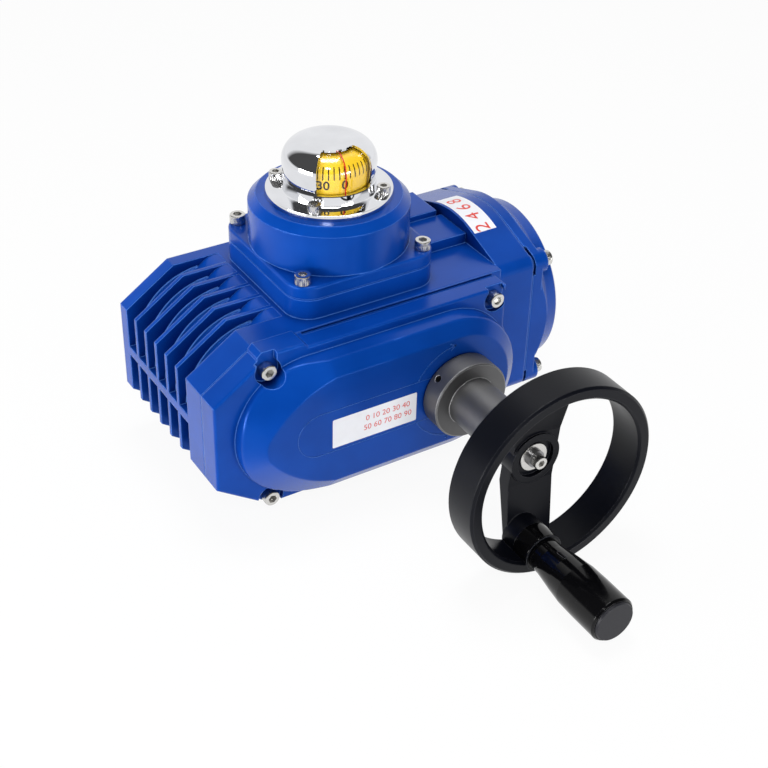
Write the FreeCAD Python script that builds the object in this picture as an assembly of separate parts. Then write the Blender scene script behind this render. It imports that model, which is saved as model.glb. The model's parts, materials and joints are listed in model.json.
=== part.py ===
import FreeCAD, Part
import math
import os

os.makedirs("parts", exist_ok=True)

# Quarter-turn electric valve actuator.
# Origin: output axis at the valve mounting face. +Z up, -Y towards the handwheel, -X towards the motor.

# Clearances
fit_gap = 0.05          # located or pressed pieces of one body
running_gap = 0.05      # shafts in bushes and bearings
free_gap = 0.3          # neighbours that only pass each other
gasket = 0.8            # flat gasket under each cover

# Mounting foot for the valve
foot_height = 13.0
foot_r = 48.0
spigot_r = 27.5
spigot_depth = 3.5
valve_bolt_pcd = 70.0
valve_bolt_hole_r = 3.4
valve_bolt_depth = 16.0

# Main housing, an outline in XZ drawn out along Y
half_width = 57.5
half_height = 53.0
motor_end_x = -118.5
shoulder_x = -85.0
shoulder_drop = 23.0
axis_z = foot_height + half_height
deck_z = foot_height + 2 * half_height

# Cooling fins
slot_count = 6
slot_width = 11.8
rib = 2.9
back_wall = 9.6
slot_floor_r = 45.0
slot_end_x = -54.0
fin_web = 6.0

# Motor
motor_x = -66.0
motor_r = 32.0
motor_back_y = half_width - 11.5
motor_bearing_r = 11.0
motor_bearing_width = 7.0
motor_shaft_r = 5.0
rotor_r = 19.0
rotor_gap = 0.5
stator_length = 60.0
winding_length = 12.0
winding_wall = 8.0
shield_thickness = 7.5

# Terminal section, round about X, with four screw lugs
terminal_x = 92.0
joint_x = 118.0
terminal_z = axis_z + 3.5
terminal_r = 64.0
lug_z = 42.0
lug_r = 8.0
lug_y = half_width - lug_r
terminal_bore_r = 53.0
inner_bore_r = 38.0
inner_bore_x = 62.0
end_dome = 25.3
pry_slot = (1.4, 2.4, 5.0)   # width along X, depth and reach past the lug's axis
lug_height = 12.0

# Raised wiring duct between the turret pad and the terminal section
duct_half_width = 18.0
duct_height = 7.0
duct_bore_r = 4.0
duct_bore_z = deck_z + 1
duct_bore_x = (30.0, 97.0)
step_y = (11.0, 40.0)
step_height = 11.0

# Turret pad and turret cover
pad_half = 50.5
pad_corner_r = 16.0
pad_top = deck_z + 13.0
turret_seat = pad_top + 9.0
turret_r = 50.0
turret_chamfer = 5.0
turret_top = turret_seat + 31.0
turret_wall = 5.0
turret_mouth_r = 30.0
turret_screw_at = 42.0

# Gear cover
cover_depth = 16.8
cover_face_y = -half_width - cover_depth
cover_edge_x = 84.5
cover_bulge_r = 50.0
plateau_x = -58.5
plateau_r = 47.5
plateau_draft = 1.5
plateau_height = 16.7
plateau_top_y = cover_face_y - plateau_height
plateau_top_r = 37.8
bevel_width = 22.5
crest_round = 2.5
edge_round = 1.5
lift = (-88.0, -56.0, 3.0)     # raised stretch of the cover's top edge: from x, to x, height
seam_groove = (3.2, 1.2)
flank_at = (-28.6, -37.0)
nose_x = -77.7
nose_r = 15.5
cavity_x = -38.0
cover_wall = 4.5
upper_screw_z = axis_z + 44.5
lower_screw_z = axis_z - 48.5
left_screw_x = -83.0
right_screw_x = 77.0
pocket_r = 8.5
pocket_mouth = 6.0
pocket_depth = 4.0

# Worm gearing: the worm lies along Y, the worm wheel turns about Z
worm_x = 40.0
module = 2.0
wheel_teeth = 28
wheel_width = 12.0
wheel_hub_r = 22.0
wheel_hub_length = 28.0
worm_half_length = 22.0
worm_backlash = 0.36
tooth_depth = 1.2
wheel_chamber_gap = 1.0
chamber_wall = 6.0
bush_boss_wall = 8.0
chamber_floor = axis_z - 42.0
chamber_top = axis_z + 28.0
chamber_corner_r = 5.0
seat_lip = 1.5             # metal left between a bearing and the gear chamber

# Spur train from the motor to the worm shaft
spur_module = 1.5
pinion_teeth = 12
gear_teeth = 36
spur_width = 7.0
spur_gap = 0.8
spur_backlash = 0.16
spur_angle = 25.0
spur_addendum = 0.85
spur_dedendum = 1.15
idler_pin_r = 3.0
gear_plate_thickness = 4.0
gear_plate_r = 40.0
gear_plate_screws = ((-12.0, -33.0), (24.0, -33.0), (4.0, 33.0), (24.0, 33.0))

# Worm shaft, stepped along Y
worm_journal_r = 6.0
worm_front_r = 8.5
worm_drive_r = 7.0
worm_end_r = 6.0
bearing_wall_rear = 8.0
bearing_wall_front = 9.0
rear_bearing_width = 8.0
front_bearing_width = 10.0
worm_back_y = half_width - 9.5

# Output shaft
output_r = 19.0
output_neck_r = 15.0
output_top_r = 14.0
spindle_r = 5.0
spindle_top = turret_top + 20.0
bush_wall = 3.0
bush_top = axis_z - 20.0
seal_height = 6.5
seal_wall = 7.0
hub_seat_z = axis_z - 14.0
socket_square = 17.0
socket_depth = 35.0
bearing_plate_z = deck_z - 11.0
bearing_plate_thickness = 6.0
bearing_plate_r = 42.0

# Indicator
bezel_r = 39.2
bezel_thickness = 3.5
bezel_ring_r = 28.7
bezel_ring_height = 7.0
dome_r = 29.2
dome_flare = 1.3
dome_wall = 1.5
dome_height = 31.0
dome_shoulder = 13.0
window_core_r = 15.5
window_half_angle = 38.0
window_turn = -7.5
lens_wall = 1.0
drum_bottom = turret_top + 7.0
bezel_screw_at = 24.0

# Handwheel and handle
wheel_screw_length = 16.0
collar_r = 26.0
collar_length = 14.7
neck_r = 16.3
hub_back_y = plateau_top_y - 71.0
hub_front_y = hub_back_y - 10.5
hub_r = 17.0
hub_recess_r = 12.8
hub_recess = 3.0
wheel_washer = (9.4, 1.2)
wheel_lock_washer = (5.6, 2.4)
grub_r = 2.3
grub_length = 8.0
rim_r = 63.5
rim_wall = 8.2
rim_width = 24.3
rim_back_y = hub_back_y - 12.7
rim_edge = 1.5
web_half_width = 16.0
web_lean = 4.6
web_thin = 3.5
handle_at = 49.4
handle_lean = 10.7
handle_boss_r = 12.5
handle_boss_end = rim_back_y - rim_width - 0.5
handle_head = (7.0, 2.5)
grip_neck_r = 10.5
grip_r = 14.6
grip_length = 65.0
grip_end = handle_boss_end - grip_length
grip_cap = 1.6
grip_cap_r = 9.0
handle_spindle_r = 4.0

# Socket screws, as (head radius, head height, shank radius, socket across flats)
m6 = (5.0, 6.0, 3.0, 5.0)
m5 = (4.25, 5.0, 2.5, 4.0)
m4 = (3.5, 4.0, 2.0, 3.0)

# Cams, switches and wiring
cam_r = 15.0
cam_lobe = 1.0
cam_thickness = 5.0
cam_z = (pad_top - 6.0, pad_top + 3.0)
switch_size = (16.0, 28.0, 9.0)
switch_x = 20.0
switch_screw_r = 1.5
plunger_r = 1.5
plunger_travel = 1.0
board_x = 98.0
board_thickness = 2.0
board_r = 46.0
board_post_at = 42.0
capacitor_r = 14.0
capacitor_length = 50.0
capacitor_drop = 8.0
gland_x = 105.0
gland_z = (terminal_z - 23.5, terminal_z + 8.5)
gland_thread_r = 10.0
gland_bore_r = 6.0
gland_flange_r = 13.0
gland_flange = 5.0
gland_nut_length = 14.0

far = 300.0              # longer than any cut through the actuator

UP = FreeCAD.Vector(0, 0, 1)


def at(x, y, z):
    return FreeCAD.Vector(x, y, z)


def rod_x(y, z, r, lo, hi):
    return Part.makeCylinder(r, hi - lo, at(lo, y, z), at(1, 0, 0))


def rod_y(x, z, r, lo, hi):
    return Part.makeCylinder(r, hi - lo, at(x, lo, z), at(0, 1, 0))


def rod_z(x, y, r, lo, hi):
    return Part.makeCylinder(r, hi - lo, at(x, y, lo), UP)


def block(x, y, z):
    return Part.makeBox(x[1] - x[0], y[1] - y[0], z[1] - z[0], at(x[0], y[0], z[0]))


def join(shapes):
    shapes = list(shapes)
    return shapes[0].fuse(shapes[1:]).removeSplitter() if len(shapes) > 1 else shapes[0]


def outline(points):
    return Part.Face(Part.makePolygon(points + points[:1]))


def prism_y(points, lo, hi):
    return outline([at(x, lo, z) for x, z in points]).extrude(at(0, hi - lo, 0))


def turned_y(points, x, z):
    """Solid of revolution about the line along Y through x, z; points are (radius, y)."""
    face = outline([at(x + r, y, z) for r, y in points])
    return face.revolve(at(x, 0, z), at(0, 1, 0), 360)


def turned_z(points, x=0.0, y=0.0):
    face = outline([at(x + r, y, z) for r, z in points])
    return face.revolve(at(x, y, 0), UP, 360)


def turned_x(points, y, z):
    face = outline([at(x, y + r, z) for x, r in points])
    return face.revolve(at(0, y, z), at(1, 0, 0), 360)


def stadium_wire(x0, x1, r, y):
    """Closed outline round the two axes at x0 and x1, in the plane y."""
    z = axis_z
    left = Part.Arc(at(x0, y, z + r), at(x0 - r, y, z), at(x0, y, z - r)).toShape()
    right = Part.Arc(at(x1, y, z - r), at(x1 + r, y, z), at(x1, y, z + r)).toShape()
    low = Part.makeLine(at(x0, y, z - r), at(x1, y, z - r))
    top = Part.makeLine(at(x1, y, z + r), at(x0, y, z + r))
    return Part.Wire([left, low, right, top])


def stadium(x0, x1, r, lo, hi, r_hi=None):
    """Stadium block from y = lo to y = hi, tapered if r_hi is given."""
    ends = [stadium_wire(x0, x1, r, lo), stadium_wire(x0, x1, r_hi or r, hi)]
    return Part.makeLoft(ends, True, True)


def rounded_block(x, y, z, corner):
    box = block(x, y, z)
    upright = [e for e in box.Edges if abs(e.tangentAt(e.FirstParameter).z) > 0.99]
    return box.makeFillet(corner, upright)


def rounded_square(half, corner, lo, hi):
    return rounded_block((-half, half), (-half, half), (lo, hi), corner)


def hexagon(across, lo, hi):
    r = across / math.sqrt(3)
    points = [at(r * math.cos(math.radians(a)), r * math.sin(math.radians(a)), lo) for a in range(0, 360, 60)]
    return outline(points).extrude(at(0, 0, hi - lo))


def socket_screw(size, length):
    """Cap screw along Z: its head stands on z = 0 and its shank hangs below."""
    head_r, head, shank_r, across = size
    edge = head * 0.08
    shape = turned_z([
        (0, -length), (shank_r, -length), (shank_r, 0), (head_r, 0),
        (head_r, head - edge), (head_r - edge, head), (0, head),
    ])
    return shape.cut(hexagon(across, head * 0.45, head + 1))


def placed(shape, base, direction):
    """Copy of a shape drawn along Z, turned to a direction and moved to base."""
    turn = FreeCAD.Rotation(UP, direction)
    copy = shape.copy()
    copy.Placement = FreeCAD.Placement(base, turn).multiply(copy.Placement)
    return copy


def export(name, *solids):
    shape = solids[0] if len(solids) == 1 else Part.makeCompound(list(solids))
    bad = [s for s in shape.Solids if not s.isValid()]
    print(name, len(shape.Solids), "solids", round(shape.Volume), "mm3", "INVALID" if bad else "")
    shape.exportStep("parts/%s.step" % name)


# Places worked out from the driving dimensions
idler_span = spur_module * (pinion_teeth + gear_teeth) / 2
idler_reach = (worm_x - motor_x - idler_span) / 2
idler_rise = math.sqrt(idler_span ** 2 - idler_reach ** 2)
idler_1 = (motor_x + idler_reach, axis_z + idler_rise)
idler_2 = (worm_x - idler_reach, axis_z + idler_rise)
wheel_pitch_r = module * wheel_teeth / 2
worm_pitch_r = worm_x - wheel_pitch_r
wheel_tip_r = wheel_pitch_r + module
worm_tip_r = worm_pitch_r + module
worm_root_r = worm_pitch_r - tooth_depth * module
chamber_r = wheel_tip_r + wheel_chamber_gap
rear_seat_r = worm_journal_r + bearing_wall_rear
front_seat_r = worm_front_r + bearing_wall_front
front_seat_y = -half_width + front_bearing_width
plate_y = -half_width - gear_plate_thickness
layers = [plate_y - spur_gap - i * (spur_width + spur_gap) for i in range(3)]
cavity_r = gear_plate_r + 2.0
cavity_y = plateau_top_y + cover_wall
cover_screws = [
    (left_screw_x, upper_screw_z), (left_screw_x, lower_screw_z),
    (right_screw_x, upper_screw_z), (right_screw_x, lower_screw_z),
]
cover_back_y = -half_width - gasket
head_seat_y = cover_face_y + pocket_depth
corners = [(sx, sy) for sx in (-1, 1) for sy in (-1, 1)]
turret_screws = [(sx * turret_screw_at, sy * turret_screw_at) for sx, sy in corners]
end_screws = [(sx * lug_y, terminal_z + sz * lug_z) for sx, sz in corners]
handle_x = worm_x - handle_at * math.sin(math.radians(handle_lean))
handle_z = axis_z - handle_at * math.cos(math.radians(handle_lean))
hub_seat_y = hub_front_y + hub_recess
lower_bush_r = output_r + bush_wall
bearing_plate_top = bearing_plate_z + bearing_plate_thickness
switch_screw_spots = [(switch_x + 0.6 * switch_size[0], side * 0.35 * switch_size[1]) for side in (-1, 1)]
screw_hold = 12.0


def involute_gear(module, teeth, width, bore, angle, addendum, dedendum, backlash, phase=0.0, twist=0.0):
    """Gear about Z from z = 0, with a tooth centred on phase at mid width; twist is degrees over the width."""
    pitch_r = module * teeth / 2
    base_r = pitch_r * math.cos(math.radians(angle))
    tip_r = pitch_r + addendum * module
    root_r = pitch_r - dedendum * module
    start_r = max(base_r, root_r)
    steps = 2

    def roll(r):
        bend = math.acos(base_r / r)
        return math.tan(bend) - bend

    half_tooth = math.pi / (2 * teeth) - backlash / (2 * pitch_r) + roll(pitch_r)
    radii = [start_r + (tip_r - start_r) * i / steps for i in range(steps + 1)]
    flank = [(r, half_tooth - roll(r)) for r in radii]
    if root_r < start_r:
        flank.insert(0, (root_r, half_tooth))

    def ring(z, turn):
        points = []
        for i in range(teeth):
            middle = 2 * math.pi * i / teeth + math.radians(turn)
            for r, half in flank:
                points.append(at(r * math.cos(middle - half), r * math.sin(middle - half), z))
            for r, half in reversed(flank):
                points.append(at(r * math.cos(middle + half), r * math.sin(middle + half), z))
        return Part.makePolygon(points + points[:1])

    if twist:
        blank = Part.makeLoft([ring(0, phase - twist / 2), ring(width, phase + twist / 2)], True, True)
    else:
        blank = Part.Face(ring(0, phase)).extrude(at(0, 0, width))
    return blank.cut(rod_z(0, 0, bore, -1, width + 1))


def spur(teeth, bore, line, toward, near_y):
    """Spur gear along Y whose tooth (toward = 0) or gap (toward = 1) faces the direction line, in the XZ plane."""
    local = -line
    pitch = 360.0 / teeth
    shape = involute_gear(
        spur_module, teeth, spur_width, bore, spur_angle, spur_addendum, spur_dedendum,
        spur_backlash, local + toward * pitch / 2,
    )
    shape.rotate(at(0, 0, 0), at(1, 0, 0), -90)
    shape.translate(at(0, near_y - spur_width, 0))
    return shape


def direction(a, b):
    return math.degrees(math.atan2(b[1] - a[1], b[0] - a[0]))


def lug_web(y, z, lo, hi):
    """Straight-sided filling between the disc and a lug, tangent to both."""
    dy, dz = y, z - terminal_z
    turn = math.atan2(dz, dy)
    spread = math.acos((terminal_r - lug_r) / math.hypot(dy, dz))
    points = [at(lo, 0, terminal_z)]
    for sign, first in ((1, True), (-1, False)):
        c, d = math.cos(turn + sign * spread), math.sin(turn + sign * spread)
        disc = at(lo, terminal_r * c, terminal_z + terminal_r * d)
        lug = at(lo, y + lug_r * c, z + lug_r * d)
        points += [disc, lug] if first else [lug, disc]
    return outline(points).extrude(at(hi - lo, 0, 0))


def terminal_profile(lo, hi):
    """The round section with its flat sides and four lugs."""
    shapes = [rod_x(0, terminal_z, terminal_r, lo, hi)]
    shapes.append(block((lo, hi), (-half_width, half_width), (terminal_z - lug_z, terminal_z + lug_z)))
    for y, z in end_screws:
        shapes.append(rod_x(y, z, lug_r, lo, hi))
        shapes.append(lug_web(y, z, lo, hi))
    slab = block((lo, hi), (-half_width, half_width), (-far, far))
    return join(shapes).common(slab)


def body_outline():
    low = axis_z - half_height
    high = axis_z + half_height
    return [
        (motor_end_x, low + shoulder_drop), (motor_end_x, high - shoulder_drop),
        (shoulder_x, high), (terminal_x, high), (terminal_x, low), (shoulder_x, low),
    ]


def fin_slots():
    """Slots between the fins, down to the round motor chamber, with a slope where they run out."""
    reach = 50.0
    high = axis_z + half_height
    low = axis_z - half_height
    left = motor_end_x - 1
    area = [
        (left, low - reach), (left, high + reach), (slot_end_x + reach, high + reach),
        (slot_end_x - 20, high - 20), (slot_end_x - 20, low + 20), (slot_end_x + reach, low - reach),
    ]
    slots = []
    for i in range(slot_count):
        back = half_width - back_wall - i * (slot_width + rib)
        slots.append(prism_y(area, back - slot_width, back))
    front = half_width - back_wall - slot_count * (slot_width + rib)
    keep = rod_y(motor_x, axis_z, slot_floor_r, front, half_width)
    web = block((left, 0), (front, half_width), (axis_z - fin_web / 2, axis_z + fin_web / 2))
    return Part.makeCompound(slots).cut(join([keep, web]))


def gear_chamber():
    """Space round the worm and the worm wheel, with the boss that holds the lower bush left standing."""
    x = (motor_x + motor_r + chamber_wall, inner_bore_x - chamber_wall)
    y = (front_seat_y + seat_lip, worm_back_y - rear_bearing_width - seat_lip)
    box = rounded_block(x, y, (chamber_floor, chamber_top), chamber_corner_r)
    boss = rod_z(0, 0, lower_bush_r + bush_boss_wall, 0, bush_top)
    return box.cut(boss).fuse(rod_z(0, 0, chamber_r, bush_top, pad_top))


def housing():
    body = prism_y(body_outline(), -half_width, half_width).cut(fin_slots())
    shapes = [body, terminal_profile(terminal_x, joint_x)]
    shapes.append(rounded_square(pad_half, pad_corner_r, deck_z - 1, pad_top))
    duct_end = terminal_x - 0.5
    shapes.append(block((pad_half - 9, duct_end), (-duct_half_width, step_y[0]), (deck_z - 1, deck_z + duct_height)))
    shapes.append(block((pad_half - 9, duct_end - 4), step_y, (deck_z - 1, deck_z + step_height)))
    shapes.append(rod_z(0, 0, foot_r, 0, foot_height + 1))
    body = join(shapes)
    cuts = []
    cuts.append(rod_y(motor_x, axis_z, motor_r, -half_width - 1, motor_back_y))
    cuts.append(rod_y(motor_x, axis_z, motor_bearing_r, 0, motor_back_y + motor_bearing_width))
    cuts.append(gear_chamber())
    cuts.append(rod_z(0, 0, bearing_plate_r, bearing_plate_z, pad_top + 1))
    cuts.append(rod_y(worm_x, axis_z, worm_tip_r + 2, -half_width - 1, worm_back_y - rear_bearing_width))
    cuts.append(rod_y(worm_x, axis_z, rear_seat_r, 0, worm_back_y))
    cuts.append(rod_y(worm_x, axis_z, front_seat_r, -half_width - 1, front_seat_y))
    cuts.append(rod_x(0, duct_bore_z, duct_bore_r, *duct_bore_x))
    cuts.append(rod_x(0, terminal_z, inner_bore_r, inner_bore_x, joint_x + 1))
    cuts.append(rod_x(0, terminal_z, terminal_bore_r, terminal_x + 2, joint_x + 1))
    cuts.append(rod_z(0, 0, spigot_r, -1, spigot_depth))
    cuts.append(rod_z(0, 0, output_r + seal_wall, 0, spigot_depth + seal_height))
    cuts.append(rod_z(0, 0, lower_bush_r, 0, bush_top + 1))
    hold = m6[2] + fit_gap
    for a in range(45, 360, 90):
        x = valve_bolt_pcd / 2 * math.cos(math.radians(a))
        y = valve_bolt_pcd / 2 * math.sin(math.radians(a))
        cuts.append(rod_z(x, y, valve_bolt_hole_r, -1, valve_bolt_depth))
    for x, z in cover_screws:
        cuts.append(rod_y(x, z, hold, -half_width - 1, -half_width + screw_hold))
    for x, y in turret_screws:
        cuts.append(rod_z(x, y, hold, pad_top - screw_hold, pad_top + 1))
    for y, z in end_screws:
        cuts.append(rod_x(y, z, hold, joint_x - screw_hold, joint_x + 1))
    for z in gland_z:
        cuts.append(rod_y(gland_x, z, gland_thread_r, 0, half_width + 1))
    for x, z in plate_screws:
        cuts.append(rod_y(x, z, m4[2] + fit_gap, -half_width - 1, -half_width + 9))
    for x, y in disc_screws:
        cuts.append(rod_z(x, y, m4[2] + fit_gap, bearing_plate_z - 9, bearing_plate_z + 1))
    return body.cut(cuts)


plate_screws = [(x, axis_z + z) for x, z in gear_plate_screws]
disc_screws = [(36.8 * math.cos(math.radians(a)), 36.8 * math.sin(math.radians(a))) for a in (75, 180, 285)]


def cover_outline(lo, hi):
    points = [(x, z) for x, z in body_outline()]
    points = [(min(x, cover_edge_x), z) for x, z in points]
    flange = prism_y(points, lo, hi)
    return join([flange, rod_y(worm_x, axis_z, cover_bulge_r, lo, hi)])


def plateau_wire(out, y):
    """Outline of the plateau's top face, moved outwards by out, in the plane y."""
    top = plateau_top_r + out
    r = nose_r + out
    flank_x, flank_h = flank_at
    span = math.hypot(flank_x - nose_x, flank_h)
    flank_r = span + r
    corner = (flank_x - math.sqrt(flank_r ** 2 - (top - flank_h) ** 2), top)
    meet = (nose_x - r * (flank_x - nose_x) / span, -r * flank_h / span)
    mid_turn = (math.atan2(corner[1] - flank_h, corner[0] - flank_x) + math.atan2(meet[1] - flank_h, meet[0] - flank_x)) / 2
    mid = (flank_x + flank_r * math.cos(mid_turn), flank_h + flank_r * math.sin(mid_turn))

    def spot(x, h):
        return at(x, y, axis_z + h)

    edges = [
        Part.Arc(spot(worm_x, -top), spot(worm_x + top, 0), spot(worm_x, top)).toShape(),
        Part.makeLine(spot(worm_x, top), spot(*corner)),
        Part.Arc(spot(*corner), spot(*mid), spot(*meet)).toShape(),
        Part.Arc(spot(*meet), spot(nose_x - r, 0), spot(meet[0], -meet[1])).toShape(),
        Part.Arc(spot(meet[0], -meet[1]), spot(mid[0], -mid[1]), spot(corner[0], -corner[1])).toShape(),
        Part.makeLine(spot(corner[0], -corner[1]), spot(worm_x, -top)),
    ]
    return Part.Wire(edges)


def plateau():
    wall = stadium(plateau_x, worm_x, plateau_r - plateau_draft, plateau_top_y, cover_face_y + 1, plateau_r)
    bevel = Part.makeLoft([plateau_wire(0, plateau_top_y), plateau_wire(bevel_width, cover_face_y)], True, True)
    root = stadium(plateau_x, worm_x, plateau_r, cover_face_y, cover_face_y + 1)
    shape = wall.common(join([bevel, root])).Solids[0]
    top, crest = [], []
    for edge in shape.Edges:
        box = edge.BoundBox
        if box.YMax < plateau_top_y + 0.01:
            top.append(edge)
        elif box.YMin > plateau_top_y + 0.5 and box.YMax < cover_face_y - 0.5 and edge.Length > 3:
            crest.append(edge)
    shape = shape.makeFillet(crest_round, crest)
    top = [edge for edge in shape.Edges if edge.BoundBox.YMax < plateau_top_y + 0.01]
    return shape.makeFillet(edge_round, top)


def front_edges(shape, above=-far):
    return [e for e in shape.Edges if e.BoundBox.YMax < cover_face_y + 0.01 and e.BoundBox.ZMax > above]


def cover_flange():
    flange = cover_outline(cover_face_y, cover_back_y)
    flange = flange.makeFillet(edge_round, front_edges(flange))
    x0, x1, rise = lift
    top = prism_y([
        (x0, deck_z - 2 * rise), (x0, deck_z), (x0 + rise, deck_z + rise), (x1 - rise, deck_z + rise), (x1, deck_z),
        (x1, deck_z - 2 * rise),
    ], cover_face_y, cover_back_y)
    top = top.makeFillet(edge_round, front_edges(top, deck_z + 0.01))
    width, depth = seam_groove
    groove = block((x1 + rise, far), (cover_back_y - width, cover_back_y + 1), (deck_z - depth, far))
    return join([flange, top]).cut(groove)


def gear_cover():
    body = join([cover_flange(), plateau()])
    cuts = [stadium(cavity_x, worm_x, cavity_r, cavity_y, cover_back_y + 1)]
    cuts.append(rod_y(worm_x, axis_z, worm_drive_r + seal_wall, plateau_top_y - 1, 0))
    for x, z in cover_screws:
        cuts.append(rod_y(x, z, pocket_r, plateau_top_y, head_seat_y))
        rise = (z, z + 2 * pocket_r) if z > axis_z else (z - 2 * pocket_r, z)
        cuts.append(block((x - pocket_mouth, x + pocket_mouth), (plateau_top_y, head_seat_y), rise))
        cuts.append(rod_y(x, z, m6[2] + free_gap, plateau_top_y, 0))
    return body.cut(cuts)


def gear_gasket():
    sheet = cover_outline(cover_back_y, -half_width)
    cuts = [stadium(cavity_x, worm_x, cavity_r, cover_back_y - 1, -half_width + 1)]
    for x, z in cover_screws:
        cuts.append(rod_y(x, z, m6[2] + free_gap, cover_face_y, 0))
    return sheet.cut(cuts)


def pry_slots():
    """Short slots round the outer corner of each lug, where the cover is levered off."""
    width, depth, reach = pry_slot
    slots = []
    for y, z in end_screws:
        ring = rod_x(y, z, lug_r * 2, joint_x - 1, joint_x + gasket + width)
        ring = ring.cut(rod_x(y, z, lug_r - depth, joint_x - 2, far))
        side = (-far, y + reach) if y < 0 else (y - reach, far)
        rise = (z - reach, far) if z > terminal_z else (-far, z + reach)
        slots.append(ring.common(block((joint_x, far), side, rise)))
    return slots


def end_cover():
    start = joint_x + gasket
    flange = terminal_profile(start, joint_x + 8)
    lugs = [rod_x(y, z, lug_r, start, joint_x + lug_height) for y, z in end_screws]
    dome = turned_x([
        (start, 0), (start, terminal_r - 6), (joint_x + 9, terminal_r - 1), (joint_x + 15, terminal_r - 6.5),
        (joint_x + end_dome - 1.3, terminal_r - 9), (joint_x + end_dome, terminal_r - 10.5), (joint_x + end_dome, 0),
    ], 0, terminal_z)
    body = join([flange] + lugs + [dome])
    side = block((start, far), (-half_width, half_width), (-far, far))
    body = body.common(side)
    cuts = [rod_x(0, terminal_z, terminal_bore_r - 3, start - 1, joint_x + end_dome - 4.3)]
    for y, z in end_screws:
        cuts.append(rod_x(y, z, m6[2] + free_gap, start - 1, far))
        cuts.append(rod_x(y, z, m6[0] + 1, joint_x + lug_height, far))
    return body.cut(cuts + pry_slots())


def end_gasket():
    sheet = terminal_profile(joint_x, joint_x + gasket)
    cuts = [rod_x(0, terminal_z, terminal_bore_r, joint_x - 1, joint_x + 2)]
    for y, z in end_screws:
        cuts.append(rod_x(y, z, m6[2] + free_gap, joint_x - 1, joint_x + 2))
    return sheet.cut(cuts + pry_slots())


def turret_cover():
    base = rounded_square(pad_half, pad_corner_r, pad_top + gasket, turret_seat)
    base = base.makeFillet(edge_round, [e for e in base.Edges if e.BoundBox.ZMin > turret_seat - 0.01])
    edge = turret_chamfer
    turret = turned_z([
        (0, pad_top + gasket), (turret_r, pad_top + gasket), (turret_r, turret_top - edge),
        (turret_r - edge, turret_top), (0, turret_top),
    ])
    body = join([base, turret])
    inside = turret_r - turret_wall
    cuts = [rod_z(0, 0, inside, 0, turret_top - turret_wall), rod_z(0, 0, turret_mouth_r, 0, turret_top + 1)]
    for x, y in turret_screws:
        cuts.append(rod_z(x, y, m6[2] + free_gap, 0, turret_top))
    for sx, sy in corners:
        x, y = sx * bezel_screw_at, sy * bezel_screw_at
        cuts.append(rod_z(x, y, m5[2] + fit_gap, turret_top - turret_wall - 1, turret_top + 1))
    return body.cut(cuts)


def turret_gasket():
    sheet = rounded_square(pad_half, pad_corner_r, pad_top, pad_top + gasket)
    cuts = [rod_z(0, 0, turret_r - turret_wall, 0, turret_top)]
    for x, y in turret_screws:
        cuts.append(rod_z(x, y, m6[2] + free_gap, 0, turret_top))
    return sheet.cut(cuts)


def dome_profile(r, top, shoulder, bottom):
    """Closed half profile with a round shoulder, as a face in XZ."""
    mid = shoulder * (1 - math.sqrt(0.5))
    edges = [
        Part.makeLine(at(0, 0, bottom), at(r - dome_flare, 0, bottom)),
        Part.makeLine(at(r - dome_flare, 0, bottom), at(r, 0, top - shoulder)),
        Part.Arc(at(r, 0, top - shoulder), at(r - mid, 0, top - mid), at(r - shoulder, 0, top)).toShape(),
        Part.makeLine(at(r - shoulder, 0, top), at(0, 0, top)),
        Part.makeLine(at(0, 0, top), at(0, 0, bottom)),
    ]
    return Part.Face(Part.Wire(edges))


def domed(r, top, shoulder, bottom):
    return dome_profile(r, top, shoulder, bottom).revolve(at(0, 0, 0), UP, 360)


def window_wedge(lo, hi, reach):
    """Sector that faces the front, for the window."""
    a = math.radians(window_half_angle)
    x = reach * math.tan(a)
    wedge = outline([at(0, 0, lo), at(-x, -reach, lo), at(x, -reach, lo)]).extrude(at(0, 0, hi - lo))
    wedge.rotate(at(0, 0, 0), UP, window_turn)
    return wedge


bezel_z = turret_top
ring_top = bezel_z + bezel_thickness + bezel_ring_height
dome_top = bezel_z + bezel_thickness + dome_height
lens_top = dome_top - dome_wall - free_gap
lens_r = dome_r - dome_wall - fit_gap
drum_r = lens_r - lens_wall - 0.5
drum_top = lens_top - lens_wall - 0.5


def bezel():
    flange = rod_z(0, 0, bezel_r, bezel_z, bezel_z + bezel_thickness)
    ring = rod_z(0, 0, bezel_ring_r, bezel_z, ring_top)
    body = join([flange, ring, domed(dome_r, dome_top, dome_shoulder, bezel_z)])
    hollow = domed(dome_r - dome_wall, dome_top - dome_wall, dome_shoulder - dome_wall, bezel_z - 1)
    wedge = window_wedge(ring_top, dome_top + 1, dome_r + 5)
    core = rod_z(0, 0, window_core_r, 0, dome_top + 2)
    cuts = [hollow, wedge.cut(core)]
    for sx, sy in corners:
        cuts.append(rod_z(sx * bezel_screw_at, sy * bezel_screw_at, m5[2] + free_gap, bezel_z - 1, ring_top + 5))
        cuts.append(rod_z(sx * bezel_screw_at, sy * bezel_screw_at, m5[0] + free_gap, bezel_z + bezel_thickness, ring_top + 5))
    return body.cut(cuts)


def lens():
    outer = domed(lens_r, lens_top, dome_shoulder - dome_wall, bezel_z + 1)
    inner = domed(lens_r - lens_wall, lens_top - lens_wall, dome_shoulder - dome_wall - lens_wall, bezel_z)
    return outer.cut(inner)


def drum():
    shell = domed(drum_r, drum_top, dome_shoulder - dome_wall - lens_wall - 0.5, drum_bottom)
    inner = domed(drum_r - 2, drum_top - 2, dome_shoulder - dome_wall - lens_wall - 2.5, drum_bottom - 1)
    boss = rod_z(0, 0, spindle_r + 3, spindle_top - 10, drum_top - 1)
    hollow = rod_z(0, 0, spindle_r + fit_gap, drum_bottom - 1, spindle_top + free_gap)
    return shell.cut(inner).fuse(boss).removeSplitter().cut(hollow)


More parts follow.
